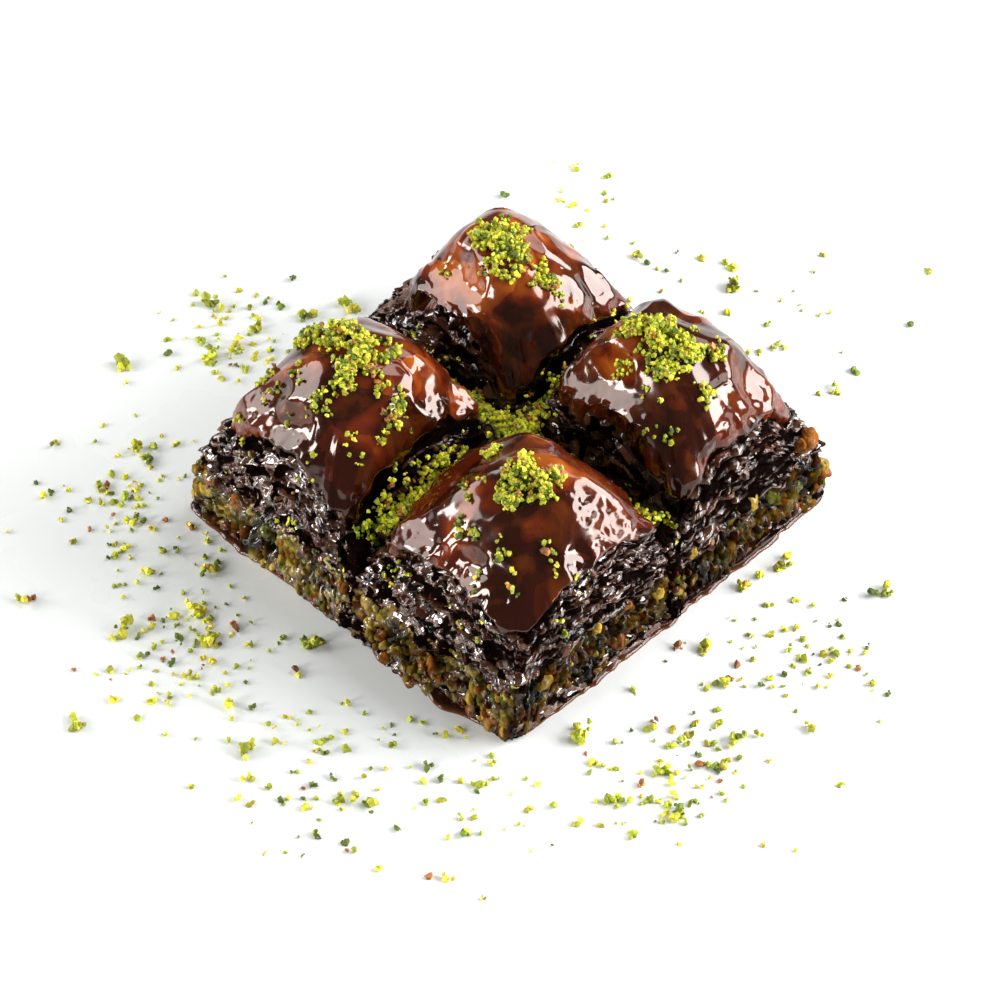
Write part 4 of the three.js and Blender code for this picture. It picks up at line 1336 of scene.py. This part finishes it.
# Drifts in the cuts: where their middle is, how far they spread in X and in Y, and their crumbs
CUT_DRIFTS = [
    (-1.2, -29.0, 1.6, 5.0, 80), (-1.0, -17.0, 1.7, 8.0, 190), (-24.0, 1.2, 7.0, 1.8, 90),
    (-8.0, 0.2, 6.0, 1.8, 110), (-0.5, 14.0, 1.8, 8.0, 130), (-1.0, 26.0, 1.6, 5.0, 70),
    (1.0, 1.0, 3.2, 3.2, 80), (32.0, 2.6, 1.9, 1.5, 34), (14.0, 0.5, 9.0, 1.8, 70),
    (27.0, 0.5, 4.0, 1.6, 26), (-34.0, 2.0, 3.0, 1.5, 26), (-1.0, -35.0, 1.5, 2.5, 20),
]
CUT_LIGHTNESS = 1.45
CUT_BED_TONE = GROUND_TONES[4] * 0.12


def cut_core():
    """A bumpy cross between the squares, whose sides are hidden in them."""
    stations = np.linspace(-CUT_FILL_REACH, CUT_FILL_REACH, CUT_CORE_STATIONS)
    across = np.linspace(-CUT_FILL_WIDTH / 2, CUT_FILL_WIDTH / 2, CUT_CORE_PLACES)
    parts = []
    for axis in (0, 1):
        tops = np.array([[(along, side, CUT_FILL_TOP) for side in across] for along in stations])
        tops[..., 2] += layered(tops, (0.7, 3, 31 + axis), (0.4, 1.2, 33 + axis))
        floor = np.array([[(along, side, CUT_FILL_LOW) for side in across[::-1]] for along in stations])
        loops = np.concatenate([tops, floor], axis=1)[:, ::-1]
        if axis == 1:
            loops = np.stack([-loops[..., 1], loops[..., 0], loops[..., 2]], axis=-1)
        points, faces = skin_through(loops, loops[0].mean(axis=0), loops[-1].mean(axis=0))
        parts.append((points, as_triangles(faces), np.tile(CUT_BED_TONE, (len(points), 1))))
    return parts


def nut_in_cuts():
    """The core with crumbs lying wherever they have rolled to between the domes."""
    random = np.random.default_rng(97)
    parts = cut_core()
    core, core_faces, _ = joined(parts)
    surfaces = [*crusts.values(), *sheets.values(), BVHTree.FromPolygons(core.tolist(), core_faces)]
    places = []
    for x, y, reach_x, reach_y, count in CUT_DRIFTS:
        for _ in range(int(count * CRUMB_CROWDING)):
            spot = np.array([x, y]) + random.normal(0, 0.55, 2) * [reach_x, reach_y]
            ground = height_below(surfaces, *spot)
            if ground is not None and ground < CUT_CRUMBS_BELOW:
                places.append((*spot, ground + random.uniform(0.1, 0.5)))
    points, faces, tones = crumbs_of_nut(places, random)
    parts.append((points, faces, tones * CUT_LIGHTNESS))
    return joined(parts)


points, faces, tones = nut_in_cuts()
place_piece(
    "ground_nut_in_cuts", "ground_pistachio", points, faces, ground_nut,
    replaced=["pistachio_in_cuts"], marks={"tone": tones}, crisp=True,
)

# Crumbs on the plate
# Ground pistachio scattered over the plate by hand: single grains and small clumps, some of
# them bits of brown skin.
CLUMPS = [
    (-2, -46), (-54, -38), (-27, -66), (-20, -54), (-14, -58), (-26, -47), (6, -69), (28, -63),
    (44, -29), (56, -35), (58, -26), (66, -30), (63, -12), (53, -5), (47, -3), (44, 21), (42, 13),
    (60, 28), (-17, -84), (12, -75), (-43, -73), (-10, 68), (-6, 64), (-23, 57), (24, 57),
    (-52, 12), (-56, 5), (-61, -13), (-69, -5), (-70, -25),
]
# Scattered grains: the middle, the spread and the number
LOOSE_GRAINS = [
    (58, -25, 15, 46), (58, 8, 13, 30), (-48, -46, 13, 40), (-16, -60, 14, 46), (20, -64, 13, 32),
    (-60, -6, 12, 34), (2, 62, 20, 16), (-34, 52, 13, 14), (40, -50, 13, 22),
]
CRUMBS_IN_A_LOOSE_CLUMP = (3, 8)
GRAIN_CROWDING = 2.3
BLOCK_HALF = 41.5


def crumbs_on_plate():
    """Clumps of several crumbs, and grains that fell singly, all resting on the glaze."""
    random = np.random.default_rng(71)
    places = []
    for x, y in CLUMPS:
        for _ in range(random.integers(*CRUMBS_IN_A_LOOSE_CLUMP)):
            shift = random.normal(0, 0.9, 2)
            places.append((x + shift[0], y + shift[1], random.uniform(0.35, 0.9)))
    clumps = crumbs_of_nut(places, random, size=(0.4, 0.85))
    places = []
    for x, y, spread, count in LOOSE_GRAINS:
        for _ in range(int(GRAIN_CROWDING * count)):
            spot = np.array([x, y]) + random.normal(0, 0.6, 2) * spread
            if np.abs(spot).max() > BLOCK_HALF:
                places.append((*spot, 0.25))
    grains = crumbs_of_nut(places, random, size=(0.2, 0.68))
    return joined([clumps, grains])


points, faces, tones = crumbs_on_plate()
place_piece(
    "crumbs_on_plate", "ground_pistachio", points, faces, ground_nut,
    marks={"tone": tones}, crisp=True,
)

# Studio
# A pale table top, soft lights behind, to the right and to the left, and the camera where the
# photograph's camera stood.
TABLE_HALF = 900
CAMERA_DISTANCE = 650
CAMERA_TURN = 43.7
CAMERA_LIFT = 49.07
CAMERA_TARGET = (-1.045, -1.843, PLATE_TOP)
LENS = 136.58
SENSOR_WIDTH = 36
# Each light's turn, lift, distance, width, height and power
LIGHTS = {
    "window_right": (140, 26, 700, 540, 310, 7.8),
    "light_behind": (172, 56, 800, 500, 400, 2.8),
    "screen_left": (-66, 27, 700, 430, 280, 2.2),
    "small_lamp_0": (-46, 15, 800, 200, 200, 2.6),
    "small_lamp_1": (-14, 20, 800, 200, 200, 2.6),
    "small_lamp_2": (112, 16, 800, 200, 200, 2.6),
}
DIM_SURROUNDINGS = (0.95, 1.0, 0.90, 1)
SURROUNDINGS_STRENGTH = 0.12


def direction(turn, lift):
    """The way to something seen at that turn round the upright axis and that lift."""
    turn, lift = np.radians([turn, lift])
    return Vector((np.sin(turn) * np.cos(lift), -np.cos(turn) * np.cos(lift), np.sin(lift)))


def table_top():
    """A pale level floor under the plate."""
    mesh = bpy.data.meshes.new("table_top")
    corners = np.array([(-1, -1, 0), (1, -1, 0), (1, 1, 0), (-1, 1, 0)]) * TABLE_HALF * MM
    mesh.from_pydata(corners.tolist(), [], [(0, 1, 2, 3)])
    material, tree, shader = new_finish("pale_table")
    set_sockets(tree, shader, {"Base Color": (0.86, 0.87, 0.87, 1), "Roughness": 0.5})
    mesh.materials.append(material)
    floor = bpy.data.objects.new("table_top", mesh)
    bpy.context.scene.collection.objects.link(floor)


def soft_light(name, turn, lift, distance, width, height, power):
    """A rectangular light that faces the block."""
    lamp = bpy.data.lights.new(name, "AREA")
    lamp.shape = "RECTANGLE"
    lamp.size, lamp.size_y = width * MM, height * MM
    lamp.energy = power
    light = bpy.data.objects.new(name, lamp)
    away = direction(turn, lift)
    light.location = away * distance * MM
    light.rotation_mode = "QUATERNION"
    light.rotation_quaternion = away.to_track_quat("Z", "Y")
    bpy.context.scene.collection.objects.link(light)


def photo_camera():
    """The camera at the photograph's viewing angle."""
    camera = bpy.data.objects.new("photo_camera", bpy.data.cameras.new("photo_camera"))
    camera.data.lens = LENS
    camera.data.sensor_width = SENSOR_WIDTH
    away = direction(CAMERA_TURN, CAMERA_LIFT)
    camera.location = Vector(CAMERA_TARGET) * MM + away * CAMERA_DISTANCE * MM
    camera.rotation_mode = "QUATERNION"
    camera.rotation_quaternion = (-away).to_track_quat("-Z", "Y")
    bpy.context.scene.collection.objects.link(camera)
    bpy.context.scene.camera = camera


table_top()
for name, light in LIGHTS.items():
    soft_light(name, *light)
photo_camera()
scene = bpy.context.scene
scene.view_settings.view_transform = "Standard"
world = bpy.data.worlds.new("studio")
world.use_nodes = True
world.node_tree.nodes["Background"].inputs["Color"].default_value = DIM_SURROUNDINGS
world.node_tree.nodes["Background"].inputs["Strength"].default_value = SURROUNDINGS_STRENGTH
scene.world = world
